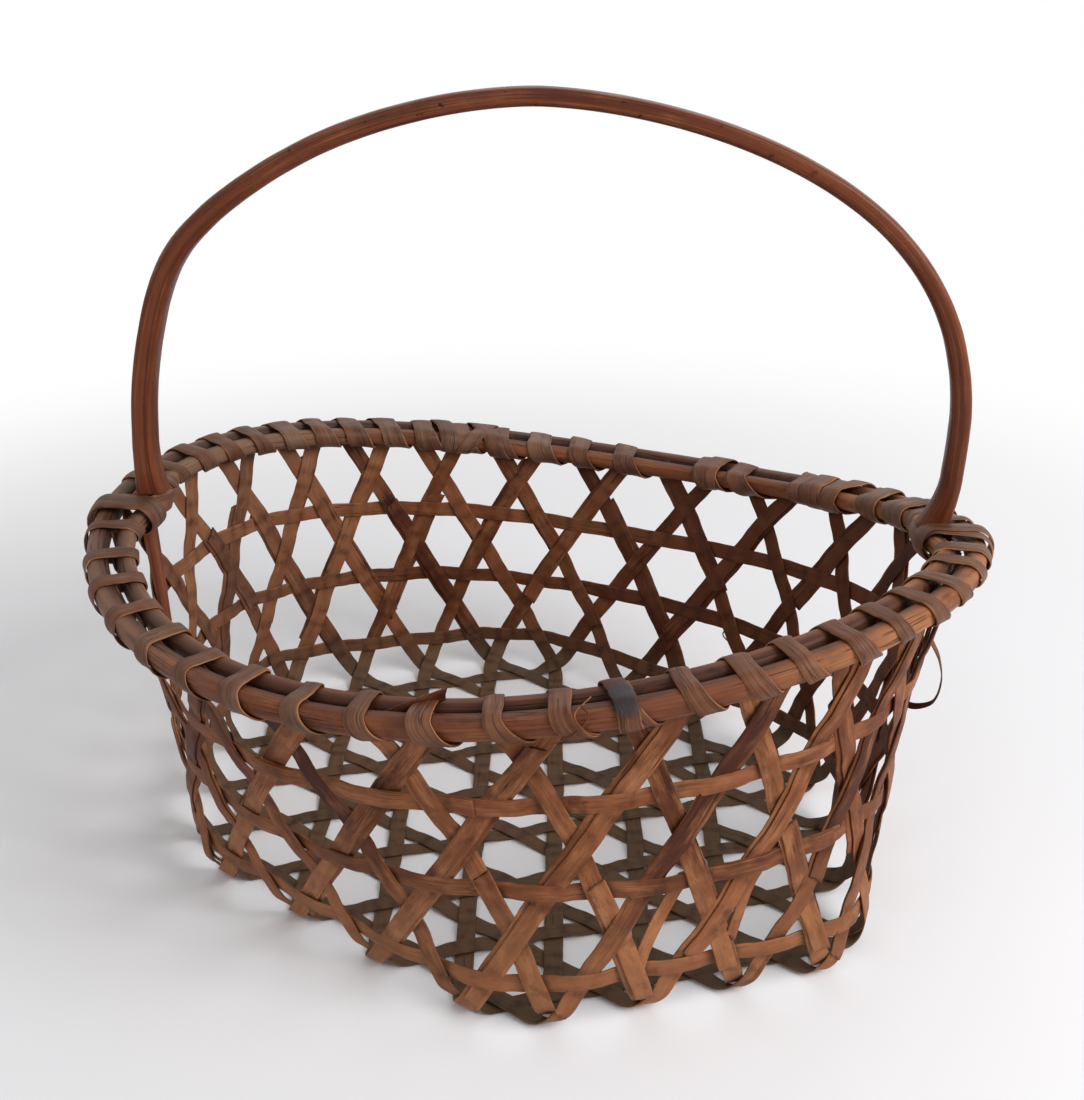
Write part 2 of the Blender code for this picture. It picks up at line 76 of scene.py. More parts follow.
class Family(Enum):
    """The three directions of the floor splints: slot name, and middle column of the first folds."""

    FRONT_BACK = ("front_back_splint", 0)
    RIGHT_SLANT = ("right_slant_splint", -4)
    LEFT_SLANT = ("left_slant_splint", 4)

    @property
    def slot(self) -> str:
        """Material slot of the record, and start of the names of the family's nodes."""
        return self.value[0]

    @property
    def turn(self) -> int:
        """Column in the middle of the family's first folds, counted from the front corner."""
        return self.value[1]


SPLINTS = [(order, family, number) for order, family in enumerate(Family) for number in range(1, 9)]


class Rod(Enum):
    """The two rods of the rim."""

    OUTER = "rim_rod_outer"
    INNER = "rim_rod_inner"


class Face(Enum):
    """The side of a splint that something lies on."""

    OUTSIDE = 1
    INSIDE = -1


def unit(vectors: Array) -> Array:
    """Each vector divided by its own length."""
    return vectors / np.linalg.norm(vectors, axis=-1, keepdims=True)


def square_to(outward: Array, heading: Array) -> Array:
    """Outward directions turned square to a heading: their share along it is taken away."""
    return unit(outward - heading * (outward * heading).sum(-1, keepdims=True))


def ease(values: Array) -> Array:
    """Smooth step from 0 to 1: three times the square less twice the cube, clipped."""
    clipped = np.clip(values, 0, 1)
    return clipped * clipped * (3 - 2 * clipped)


def flattened(wave: Array, flatness: float = 2.2) -> Array:
    """A wave with flat tops: the hyperbolic tangent of flatness times it, scaled back to 1."""
    return np.tanh(flatness * wave) / math.tanh(flatness)


def travelled(points: Array) -> Array:
    """Distance along a path at each of its points: the running sum of its steps' lengths."""
    return np.concatenate([[0], np.cumsum(np.linalg.norm(np.diff(points, axis=0), axis=1))])


def set_out(centre: Array, across: Array, up: Array, reach: Array, rise: Array) -> Array:
    """Rings of points: the middle of each station, plus reach times across, plus rise times up."""
    return centre[:, None, :] + across[:, None, :] * reach[..., None] + up[:, None, :] * rise[..., None]


def squarish(sides: int, squareness: float) -> Array:
    """Section like a rounded square: cosine and sine of a turn, to the power two over squareness.

    Args:
        sides: How many points it has.
        squareness: 2 for a circle, and more for squarer.

    Returns:
        Three rows: the turn of each point and its places across and up, between -1 and 1.
    """
    turn = 2 * np.pi * (np.arange(sides) + 0.5) / sides
    waves = np.array([np.cos(turn), np.sin(turn)])
    return np.vstack([turn, np.sign(waves) * np.abs(waves) ** (2 / squareness)])


def dirt_and_shade_beside(away: Array, under: Array, spot: float) -> Array:
    """Dirt and painted shade beside a crossing: a smooth hump round one distance from it, stronger on the
    lower strip.
    """
    return (0.25 + 0.75 * under) * ease(1 - np.abs(away - spot) / 0.17)


def wander(seed: int, along: Array, longest: float, waves: int = 5) -> Array:
    """Smooth random line between about -1 and 1: a sum of sines with seeded phases.

    Args:
        seed: Number that picks the line.
        along: Places along the line.
        longest: Length of the slowest wave, in the unit of along.
        waves: How many sines, each about 1.7 times quicker and 0.62 times as high as the last.

    Returns:
        The line's value at each place.
    """
    draw = np.random.default_rng(seed)
    phases = draw.uniform(0, 2 * np.pi, waves)
    rates = 2 * np.pi / longest * 1.7 ** np.arange(waves) * draw.uniform(0.85, 1.15, waves)
    heights = 0.62 ** np.arange(waves)
    angles = along[..., None] * rates + phases
    return (np.sin(angles) * heights).sum(-1) / heights.sum() * 1.6


def waver(seed: int, along: Array, size: float, longest: float) -> Array:
    """A line that wanders about 0 by a size; longest is the length of its slowest wave."""
    return size * wander(seed, along, longest)


def catmull(points: Array, pieces: int) -> Array:
    """Smooth curve through points: Catmull-Rom cubics, each cut into the same number of pieces.

    Args:
        points: One row per station; every column is eased the same way.
        pieces: How many steps between neighbouring stations.

    Returns:
        The finer rows, the first and last station kept.
    """
    padded = np.vstack([2 * points[0] - points[1], points, 2 * points[-1] - points[-2]])
    share = (np.arange(pieces) / pieces)[None, :, None]
    a, b, c, d = (padded[k:len(points) - 1 + k][:, None, :] for k in range(4))
    curve = 0.5 * (2 * b + (c - a) * share + (2 * a - 5 * b + 4 * c - d) * share ** 2
                   + (3 * b - a - 3 * c + d) * share ** 3)
    return np.vstack([curve.reshape(-1, points.shape[1]), points[-1]])


def bridge(low: Array, high: Array, first: Array | float, last: Array | float, part: Array) -> Array:
    """Hermite cubic from low, where part is 0, to high, where it is 1, with the slopes first and last."""
    rest = 1 - part
    return (low * rest ** 2 * (1 + 2 * part) + high * part ** 2 * (1 + 2 * rest)
            + first * part * rest ** 2 - last * part ** 2 * rest)


@dataclass(frozen=True)
class BasketForm:
    """Floor outline, wall and rim of the basket as smooth functions of column and row."""

    side_upright: float = 0.0440
    side_slant: float = 0.0451
    turn_upright: float = math.radians(98)
    turn_slant: float = math.radians(23)
    cells: int = 4
    columns: int = 24
    rows_to_rim: float = 3.6
    swell: float = 0.0070
    rounding_at_fold: float = 0.5
    rounding_per_row: float = 0.7
    rounding_samples: int = 15
    rim_half: Pair = (0.2140, 0.1747)
    rim_shift: Pair = (0.0080, 0.0025)
    rim_turn: float = math.radians(5.4)
    spread_even: float = math.radians(-3.2)
    spread_skew: float = math.radians(1.5)
    spread_side: float = math.radians(1.0)
    rim_height: float = 0.1690
    rim_warp: float = 0.0150
    rim_warp_peak: float = math.radians(-23)
    rim_tilt: float = 0.0086
    rim_tilt_turn: float = math.radians(10)
    origin: Place = (0.0080636, 0.0025225, -0.0015597)

    @property
    def step(self) -> float:
        """Columns or rows to a neighbouring place, where a direction is the difference of two."""
        return 1 / self.columns

    def beside(self, column: Array, place: float) -> Array:
        """Columns from a place round the basket, the short way: below 0 on one side of it."""
        return np.mod(column - place + self.columns / 2, self.columns) - self.columns / 2

    def corners(self) -> Array:
        """The floor's six corners and the first again, counter-clockwise from the front.

        Returns:
            Seven points on the floor.
        """
        upright, slant = (side * np.array([math.cos(turn), math.sin(turn)]) for side, turn in
                          ((self.side_upright, self.turn_upright), (self.side_slant, self.turn_slant)))
        sides = np.array([slant, upright, upright - slant, -slant, -upright, slant - upright])
        start = -self.cells * upright
        return np.vstack([start, start + np.cumsum(sides, axis=0) * self.cells])

    def outline(self, column: Array) -> Array:
        """The six-sided floor outline: straight lines between its corners.

        Args:
            column: Places round it.

        Returns:
            Points on the floor.
        """
        corners = self.corners()
        place = np.mod(column, self.columns) / self.cells
        side = np.minimum(place.astype(int), len(corners) - 2)
        share = (place - side)[..., None]
        return corners[side] * (1 - share) + corners[side + 1] * share

    def rounded(self, column: Array, row: Array) -> Array:
        """The outline averaged over a reach that grows with the row, which eases its corners."""
        reach = (self.rounding_at_fold + self.rounding_per_row * row)[..., None]
        return self.outline(column[..., None] + reach * np.linspace(-1, 1, self.rounding_samples)).mean(-2)

    def rim_point(self, column: Array) -> Array:
        """Middle of the rim bundle: an oval with uneven steps, warped by a cosine and tilted.

        Args:
            column: Places round it.

        Returns:
            The points.
        """
        base = np.radians(360 * column / self.columns - 90)
        turn = base + self.rim_turn + self.spread_even * np.cos(2 * base)
        turn = turn + self.spread_skew * np.sin(2 * base)
        turn = turn + self.spread_side * (np.cos(base) + np.sin(base))
        height = self.rim_height + self.rim_warp * np.cos(2 * (turn - self.rim_warp_peak))
        height = height - self.rim_tilt * np.sin(turn - self.rim_tilt_turn)
        return np.stack([self.rim_shift[0] + self.rim_half[0] * np.cos(turn),
                         self.rim_shift[1] + self.rim_half[1] * np.sin(turn), height], -1)

    def wall(self, column: Array, row: Array) -> Array:
        """Middle surface of the wall: straight from fold to rim in plan, a little swollen in height.

        Args:
            column: Places round the wall.
            row: Their rows.

        Returns:
            The points.
        """
        column, row = np.broadcast_arrays(np.asarray(column, float), np.asarray(row, float))
        share = row / self.rows_to_rim
        top = self.rim_point(column)
        plan = self.rounded(column, np.maximum(row, 0)) * (1 - share[..., None])
        plan = plan + top[..., :2] * share[..., None]
        rise = top[..., 2] * share + self.swell * share * (1 - share)
        return np.concatenate([plan, rise[..., None]], -1)

    def along(self, column: Array, row: Array) -> Array:
        """Direction round the wall: the difference of two places either side."""
        return unit(self.wall(column + self.step, row) - self.wall(column - self.step, row))

    def outward(self, column: Array, row: Array) -> Array:
        """Direction square to the wall, pointing out: along the wall crossed with up the wall."""
        up = self.wall(column, row + self.step) - self.wall(column, row - self.step)
        return unit(np.cross(self.along(column, row), up))


FORM = BasketForm()


def dress(piece: Piece, slot: str, *nodes: str) -> Piece:
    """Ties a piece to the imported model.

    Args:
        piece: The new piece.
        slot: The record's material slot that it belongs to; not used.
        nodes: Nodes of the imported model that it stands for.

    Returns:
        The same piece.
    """
    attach(piece, "root")
    if nodes:
        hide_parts(*nodes)
    return piece


@dataclass
class Sweep:
    """A profile carried along a path, kept as one array of rings of points.

    Rings have the shape (stations, sides, 3). Along has a value for each station, and one more
    where the rings close; around has a value for each side and one more.
    """

    rings: Array
    along: Array
    around: Array
    closed: bool = False
    marks: dict[str, Array] = field(default_factory=dict)

    def skin(self) -> tuple[list[list[int]], Array]:
        """A quad between neighbouring points of neighbouring rings, and end caps, all facing out.

        Returns:
            The points of each face, and the grain coordinates of each of its corners.
        """
        count, sides = self.rings.shape[:2]
        spans = count if self.closed else count - 1
        grids = np.meshgrid(np.arange(spans), np.arange(sides), indexing="ij")
        ring, side = (grid.ravel() for grid in grids)
        after, beside = (ring + 1) % count, (side + 1) % sides
        quads = np.stack([ring * sides + side, ring * sides + beside,
                          after * sides + beside, after * sides + side], 1)
        u = self.along[np.stack([ring, ring, ring + 1, ring + 1], 1)]
        v = self.around[np.stack([side, side + 1, side + 1, side], 1)]
        corners = self.rings.reshape(-1, 3)[quads]
        normals = np.cross(corners[:, 2] - corners[:, 0], corners[:, 3] - corners[:, 1])
        outwards = (normals * (corners.mean(1) - self.rings.mean(1)[ring])).sum() > 0
        order = [0, 1, 2, 3] if outwards else [3, 2, 1, 0]
        faces = quads[:, order].tolist()
        coords = [np.stack([u[:, order], v[:, order]], -1).reshape(-1, 2)]
        if not self.closed:
            for start, back in ((0, outwards), (count - 1, not outwards)):
                loop = np.arange(sides)[::-1] if back else np.arange(sides)
                faces.append((loop + start * sides).tolist())
                coords.append(np.stack([np.full(sides, self.along[start]), self.around[loop]], -1))
        return faces, np.concatenate(coords)

    def build(self, name: str, finish: Material, slot: str, *nodes: str) -> Piece:
        """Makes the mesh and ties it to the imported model.

        Args:
            name: Name of the object and of its mesh.
            finish: Its material.
            slot: The record's material slot that it belongs to.
            nodes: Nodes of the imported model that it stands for.

        Returns:
            The object, at the origin.
        """
        faces, coords = self.skin()
        mesh = bpy.data.meshes.new(name)
        mesh.from_pydata((self.rings.reshape(-1, 3) - np.array(FORM.origin)).tolist(), [], faces)
        mesh.uv_layers.new(name="grain").data.foreach_set("uv", coords.astype(np.float32).ravel())
        mesh.shade_smooth()
        for key, values in self.marks.items():
            spread = np.broadcast_to(values, self.rings.shape[:2]).astype(np.float32)
            mesh.attributes.new(key, "FLOAT", "POINT").data.foreach_set("value", spread.ravel())
        mesh.materials.append(finish)
        mesh.update()
        piece = bpy.data.objects.new(name, mesh)
        bpy.context.scene.collection.objects.link(piece)
        return dress(piece, slot, *nodes)


# The section of a strip, in half widths across and in half thicknesses outwards.
STRIP_ACROSS = np.array([-.965, -.87, -.45, 0, .45, .87, .965, 1, .965, .87, .45, 0, -.45, -.87, -.965, -1])
STRIP_UP = np.array([-.72, -1, -1, -1, -1, -1, -.72, 0, .72, 1, 1, 1, 1, 1, .72, 0])


@dataclass
class Ribbon:
    """A flat splint along a path, with worn edges, a slight cup and cut ends.

    Each unevenness is a share of the size and the length in metres of its slowest wave, and
    slanted_cut is the unevenness of the cut in half widths.
    """

    centre: Array
    outward: Array
    heading: Array
    width: float | Array
    thick: float | Array
    seed: int
    # dirt and painted shade along the strip, 0 for none
    dirt_and_shade: Array | float = 0.0
    ragged: float = 0.018
    cup: float = 0.00010
    cuts: Pair = (0.0, 0.0)
    uneven_width: Pair = (0.035, 0.16)
    uneven_thick: Pair = (0.10, 0.06)
    edge_waves: Pair = (0.021, 0.024)
    uneven_tone: Pair = (0.22, 0.22)
    slanted_cut: Pair = (0.5, 0.9)
    cup_middle: float = 0.4

    def sweep(self) -> Sweep:
        """The strip's rings: the flat profile set out across and outwards at every station.

        Returns:
            The sweep, with marks for edge, face, tone, and dirt with painted shade.
        """
        place = travelled(self.centre)
        across = unit(np.cross(self.outward, self.heading))
        up = unit(np.cross(self.heading, across))
        half, deep = (np.broadcast_to(size, place.shape) / 2 for size in (self.width, self.thick))
        half = half * (1 + waver(self.seed, place, *self.uneven_width))
        deep = deep * (1 + waver(self.seed + 1, place, *self.uneven_thick))
        left, right = (1 + waver(self.seed + 2 + edge, place, self.ragged, wave)
                       for edge, wave in enumerate(self.edge_waves))
        side = np.where(STRIP_ACROSS[None, :] < 0, left[:, None], right[:, None])
        rise = STRIP_UP * deep[:, None] - self.cup * (STRIP_ACROSS ** 2 - self.cup_middle)
        rings = set_out(self.centre, across, up, STRIP_ACROSS * side * half[:, None], rise)
        for end, cut, edge in ((0, self.cuts[0], -1), (-1, self.cuts[1], 1)):
            slip = cut * (STRIP_ACROSS + waver(self.seed + 5, STRIP_ACROSS, *self.slanted_cut))
            rings[end] = rings[end] + self.heading[end] * slip[:, None] * edge
        draw = np.random.default_rng(self.seed + 9)
        start = draw.uniform(0, GRAIN_ALONG)
        tone = draw.uniform(0, 1) + waver(self.seed + 6, place, *self.uneven_tone)
        marks = {
            "edge": np.abs(STRIP_ACROSS)[None, :],
            "face": np.where(STRIP_UP > 0, 1.0, 0.0)[None, :],
            "tone": tone[:, None],
            # dirt and painted shade: how much darker each station is painted
            "dirt_and_shade": np.broadcast_to(self.dirt_and_shade, place.shape)[:, None],
        }
        around = np.append(STRIP_ACROSS, STRIP_ACROSS[0]) * float(np.mean(half))
        return Sweep(rings, place + start, around + draw.uniform(0, GRAIN_ROUND), False, marks)

    def build(self, name: str, finish: Material, slot: str, *nodes: str) -> Piece:
        """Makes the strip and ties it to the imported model, with the arguments of a sweep's build."""
        return self.sweep().build(name, finish, slot, *nodes)


@dataclass(frozen=True)
class SplintPath:
    """Path of one floor splint: up the wall on one side, over the floor, up the other side.

    A place on it is an index: 0 and steps are its folds, and each step is half a weave cell.
    """

    offset: float
    turn: float
    fold_reach: float = 0.6
    fold_extra: float = 0.00090
    corner_extra: float = 0.00180
    extra_reach: float = 0.5
    # distance from a crossing, in steps, where its dirt and painted shade are strongest
    splint_dirt_and_shade_spot: float = 0.20

    @property
    def side(self) -> int:
        """1 on the right of the family's middle and -1 on the left."""
        return 1 if self.offset > 0 else -1

    @property
    def steps(self) -> int:
        """Half cells between the two folds."""
        return int(4 * FORM.cells - 2 * abs(self.offset))

    @property
    def folds(self) -> Pair:
        """Columns at which it leaves the floor, at the start and at the end."""
        return self.turn + self.offset, self.turn + FORM.columns / 2 - self.offset

    def place(self, index: Array) -> tuple[Array, Array]:
        """Column and row of the wall at an index; the floor counts as row 0.

        Args:
            index: Places along the splint.

        Returns:
            Columns and rows.
        """
        first, last = self.folds
        row = np.maximum(np.maximum(-index, index - self.steps), 0) / 2
        early = index < self.steps / 2
        return np.where(early, first - self.side * row / 2, last + self.side * row / 2), row

    def bare(self, index: Array) -> Array:
        """The path with sharp folds: a straight line over the floor, then the slanted wall line.

        Args:
            index: Places along the splint.

        Returns:
            The points.
        """
        column, row = self.place(index)
        ends = FORM.outline(np.array(self.folds))
        share = np.clip(index / self.steps, 0, 1)[..., None]
        flat = np.concatenate([ends[0] * (1 - share) + ends[1] * share, 0 * share], -1)
        return np.where((row > 0)[..., None], FORM.wall(column, row), flat)

    def point(self, index: Array) -> Array:
        """The path with rounded folds: a square Bezier curve replaces each one.

        Args:
            index: Places along the splint.

        Returns:
            The points.
        """
        path, reach = self.bare(index), self.fold_reach
        for fold in (0, self.steps):
            share = ((index - fold + reach) / (2 * reach))[..., None]
            before, middle, after = self.bare(np.array([fold - reach, fold, fold + reach]))
            bend = (1 - share) ** 2 * before + 2 * share * (1 - share) * middle + share ** 2 * after
            path = np.where((np.abs(index - fold) < reach)[..., None], bend, path)
        return path

    def heading(self, index: Array) -> Array:
        """Direction along the path, from places either side."""
        return unit(self.point(index + FORM.step) - self.point(index - FORM.step))

    def outward(self, index: Array) -> Array:
        """Direction square to the splint's flat side, out of the basket: heading crossed with edge."""
        edge = FORM.along(*self.place(index)) * np.where(index < self.steps / 2, 1, -1)[..., None]
        return unit(np.cross(self.heading(index), edge))

    def lift(self, index: Array) -> Array:
        """Height over and under: a flattened cosine wave, with more height where a fold is inside.

        Args:
            index: Places along the splint.

        Returns:
            Distances out of the basket, outside at one crossing and inside at the next.
        """
        extra = np.zeros_like(index)
        for fold, inside in ((0, self.side > 0), (self.steps, self.side < 0)):
            if inside:
                beside = (self.turn + self.offset if fold == 0 else self.turn - self.offset) % FORM.cells
                near_corner = min(beside, FORM.cells - beside) < 1
                size = self.corner_extra if near_corner else self.fold_extra
                extra = extra + size * np.exp(-((index - fold) / self.extra_reach) ** 2)
        return -self.side * flattened(np.cos(np.pi * index)) * (HALF_LAYER + extra)

    def dirt_and_shade(self, index: Array) -> Array:
        """How much a place is darkened by dirt and painted shade: most just beside what crosses over it."""
        nearest = np.round(index)
        return dirt_and_shade_beside(np.abs(index - nearest), -self.side * np.cos(np.pi * nearest) < 0,
                           self.splint_dirt_and_shade_spot)


@dataclass(frozen=True)
class Layer:
    """A second splint laid over a stretch of another one, as at a splice.

    Start and end are indexes of the splint under it, slip is its sideways shift in metres, and
    loose is how far its two ends stand off.
    """

    family: Family
    number: int
    start: float
    end: float
    face: Face = Face.OUTSIDE
    slip: float = 0.0010
    width: float = 0.0088
    cuts: Pair = (0.0015, 0.0015)
    loose: Pair = (0.0, 0.0)


@dataclass(frozen=True)
class Hoop:
    """A level hoop: its node, its row, and the column and length of its lap.

    Face is the side on which it lies at its first crossing past column 0.
    """

    node: str
    row: float
    face: Face
    start: float
    lap: float


@dataclass(frozen=True)
class LooseEnd:
    """A free strip or stub near the wall.

    Each station is a column, a row and a distance out of the wall's middle surface in metres.
    """

    name: str
    family: Family
    stations: tuple[Place, ...]
    width: float = 0.0080
    thick: float = 0.0009
    cuts: Pair = (0.0010, 0.0020)

    def build(self, order: int, finish: Material) -> Piece:
        """Builds the strip along a smooth curve through its stations.

        Args:
            order: Number that picks its small unevenness.
            finish: Its material.

        Returns:
            The object.
        """
        column, row, away = catmull(np.array(self.stations), 10).T
        outward = FORM.outward(column, row)
        centre = FORM.wall(column, row) + outward * away[:, None]
        heading = unit(np.gradient(centre, axis=0))
        ribbon = Ribbon(centre, square_to(outward, heading), heading, self.width, self.thick,
                        1500 + 20 * order, cuts=self.cuts, cup=min(0.0001, self.thick * 0.1))
        return ribbon.build(self.name, finish, self.family.slot)


@dataclass
class Weaving:
    """The 24 floor splints, the layers spliced onto them and the three hoops.

    Sway is a distance in metres and the steps of its slowest wave. Each hoop sway is a height in
    rows, the number of its waves and its shift from hoop to hoop.
    """

    layers: tuple[Layer, ...] = ()
    hoops: tuple[Hoop, ...] = ()
    width: float = 0.0090
    thick: float = 0.0010
    top_row: float = 3.62
    sway: Pair = (0.00055, 9.0)
    cups: Pair = (-0.00012, 0.00016)
    wall_widening: float = 0.06
    layer_clear: float = 0.00012
    loose_reach: float = 0.9
    hoop_width: float = 0.0091
    hoop_clear: float = 0.0001
    hoop_sway: tuple[tuple[float, int, int], ...] = ((0.018, 3, 1), (0.012, 7, 2))
    # distance from a crossing, in steps, where a hoop's dirt and painted shade are strongest
    hoop_dirt_and_shade_spot: float = 0.22
    lap_before: float = 0.5
    lap_reach: float = 0.4
    stations_per_step: int = 18

    def path(self, family: Family, number: int) -> SplintPath:
        """The path of one splint of a family, counted from 1 to 8."""
        return SplintPath(number - 4.5, family.turn)

    def ribbon(self, path: SplintPath, index: Array, seed: int, width: float,
               raise_by: Array | float = 0.0, slip: float = 0.0, cuts: Pair = (0.0, 0.0)) -> Ribbon:
        """A strip along part of a splint's path.

        Args:
            path: The splint's path.
            index: Its stations.
            seed: Picks its small unevenness.
            width: Its width.
            raise_by: Extra distance out of the basket.
            slip: Sideways shift.
            cuts: How far each end is cut on a slant.

        Returns:
            The strip.
        """
        heading, outward = path.heading(index), path.outward(index)
        across = unit(np.cross(outward, heading))
        sway = waver(seed + 20, index, *self.sway) + slip
        lift = (path.lift(index) + raise_by)[:, None]
        centre = path.point(index) + outward * lift + across * sway[:, None]
        cup = np.random.default_rng(seed).uniform(*self.cups)
        width = width * (1 + self.wall_widening * ease(path.place(index)[1] * 2))
        return Ribbon(centre, outward, heading, width, self.thick, seed, path.dirt_and_shade(index),
                      cup=cup, cuts=cuts)

    def splints(self, finishes: dict[Family, Material]) -> list[Piece]:
        """Builds every floor splint and has it stand for its node.

        Args:
            finishes: A material for each family.

        Returns:
            The objects.
        """
        pieces = []
        reach = 2 * self.top_row
        for order, family, number in SPLINTS:
            path = self.path(family, number)
            count = round((path.steps + 2 * reach) * self.stations_per_step)
            index = np.linspace(-reach, path.steps + reach, count)
            seed = 100 * order + 10 * number
            width = self.width * np.random.default_rng(seed).uniform(0.95, 1.06)
            node = f"{family.slot}_{number}"
            strip = self.ribbon(path, index, seed, width)
            pieces.append(strip.build(f"woven_{node}", finishes[family], family.slot, node))
        return pieces

    def spliced(self, finishes: dict[Family, Material]) -> list[Piece]:
        """Builds the second layers.

        Args:
            finishes: A material for each family.

        Returns:
            The objects.
        """
        pieces = []
        for order, layer in enumerate(self.layers):
            count = max(round((layer.end - layer.start) * self.stations_per_step), 8)
            index = np.linspace(layer.start, layer.end, count)
            lift = self.thick + self.layer_clear + 0 * index
            for end, loose in zip((layer.start, layer.end), layer.loose):
                lift = lift + loose * ease(1 - np.abs(index - end) / self.loose_reach)
            strip = self.ribbon(self.path(layer.family, layer.number), index, 3000 + 30 * order,
                                layer.width, layer.face.value * lift, layer.slip, layer.cuts)
            name = f"spliced_layer_{order + 1}"
            pieces.append(strip.build(name, finishes[layer.family], layer.family.slot))
        return pieces

    def hooped(self, finish: Material) -> list[Piece]:
        """Builds the level hoops: each passes over and under the slanted splints, its ends lapped.

        Args:
            finish: Their material.

        Returns:
            The objects.
        """
        pieces = []
        for order, hoop in enumerate(self.hoops):
            count = round(2 * (FORM.columns + hoop.lap) * self.stations_per_step)
            column = hoop.start + np.linspace(0, FORM.columns + hoop.lap, count)
            turn = 2 * np.pi * column / FORM.columns
            row = hoop.row + sum(size * np.sin(turn * waves + shift * order)
                                 for size, waves, shift in self.hoop_sway)
            phase = 2 * column - 0.5
            wave = np.cos(np.pi * phase) * hoop.face.value
            lapped = ease((column - hoop.start - FORM.columns + self.lap_before) / self.lap_reach)
            lift = HALF_LAYER * flattened(wave) + (self.thick + self.hoop_clear) * lapped
            outward, heading = FORM.outward(column, row), FORM.along(column, row)
            centre = FORM.wall(column, row) + outward * lift[:, None]
            # dirt and painted shade beside each crossing, stronger where the hoop runs under
            dirt_and_shade = dirt_and_shade_beside(np.abs(phase - np.round(phase)), wave < 0, self.hoop_dirt_and_shade_spot)
            strip = Ribbon(centre, outward, heading, self.hoop_width, self.thick, 700 + 10 * order, dirt_and_shade)
            pieces.append(strip.build(f"woven_{hoop.node}", finish, "hoop", hoop.node))
        return pieces


@dataclass(frozen=True)
class RimForm:
    """The two rods of the rim and the slot between them, which opens round each handle foot."""

    outer_radius: float = 0.0053
    inner_radius: float = 0.0047
    slot_half: float = 0.0017
    foot_spread: float = 0.00765
    foot_reach: float = 0.85
    feet: Pair = (18.0, 6.0)

    def foot_share(self, column: Array) -> Array:
        """1 at a handle foot and 0 away from it: half a cosine wave."""
        away = np.min([np.abs(FORM.beside(column, foot)) for foot in self.feet], axis=0)
        return (1 + np.cos(np.pi * np.minimum(away / self.foot_reach, 1))) / 2

    def offset(self, rod: Rod, column: Array) -> Array:
        """Level distance of a rod's middle from the middle of the rim, outwards."""
        inner = -(self.slot_half + self.inner_radius + self.foot_spread * self.foot_share(column))
        return self.slot_half + self.outer_radius + 0 * column if rod is Rod.OUTER else inner

    def middle(self, column: Array) -> tuple[Array, Array, Array]:
        """The rim bundle between its rods: the top of the wall.

        Args:
            column: Places round the rim.

        Returns:
            Middles, level outward directions and directions along it.
        """
        row = FORM.rows_to_rim + 0 * column
        edge = FORM.along(column, row)
        outward = unit(np.stack([edge[..., 1], -edge[..., 0], 0 * column], -1))
        return FORM.wall(column, row), outward, edge

    def frame(self, rod: Rod | None, column: Array) -> tuple[Array, Array, Array]:
        """Middle of a rod, or of the bundle, with its outward and upward directions square to it.

        Args:
            rod: Which rod, or None for the middle between them.
            column: Places round the rim.

        Returns:
            Middles, outward directions and upward directions.
        """
        ends = []
        for beside in (column - FORM.step, column, column + FORM.step):
            centre, outward, _ = self.middle(beside)
            distance = 0 * beside if rod is None else self.offset(rod, beside)
            ends.append(centre + outward * distance[..., None])
        heading = unit(ends[2] - ends[0])
        outward = square_to(self.middle(column)[1], heading)
        return ends[1], outward, unit(np.cross(outward, heading))


RIM = RimForm()


@dataclass
class RimRods:
    """The two bent rods: a squarish section with flats worn into it."""

    squareness: float = 2.7
    stations: int = 960
    sides: int = 24
    dent: float = 0.10
    dent_waves: tuple[int, ...] = (5, 9, 14, 23, 31)

    def build(self, finish: Material) -> list[Piece]:
        """Builds both rods: the section carried round the rim, dented by a sum of sines.

        Args:
            finish: Their material.

        Returns:
            The objects.
        """
        pieces = []
        turn, across, rise = squarish(self.sides, self.squareness)
        column = RIM.feet[0] + FORM.columns * np.arange(self.stations) / self.stations
        circle = 2 * np.pi * column / FORM.columns
        for order, rod in enumerate(Rod):
            centre, outward, up = RIM.frame(rod, column)
            radius, inwards = (RIM.outer_radius, 1) if rod is Rod.OUTER else (RIM.inner_radius, -1)
            wave = sum(np.sin(circle * rate + order + rate) / rate for rate in self.dent_waves)
            size = radius * (1 + self.dent * wave[:, None] * np.sin(turn * 2 + order)[None, :])
            around = np.linspace(0, 2 * np.pi * radius, self.sides + 1)
            # slot: the faces turned to the other rod, where the finish paints shade
            marks = {"edge": (np.abs(across) * np.abs(rise))[None, :], "tone": 0.5 + 0.3 * wave[:, None],
                     "slot": ease(0.5 - 0.7 * across * inwards)[None, :]}
            rings = set_out(centre, outward, up, across * size, rise * size)
            along = travelled(np.vstack([centre, centre[:1]]))
            sweep = Sweep(rings, along + 7 * order, around + 3 * order, True, marks)
            pieces.append(sweep.build(f"bent_{rod.value}", finish, "rim_rod", rod.value))
        return pieces


@dataclass(frozen=True)
class Wrap:
    """An extra wrap over the lashing: columns and shares of a turn where it starts and ends."""

    columns: Pair
    shares: Pair
    width: float = 0.0085
    lift: float = 0.00135


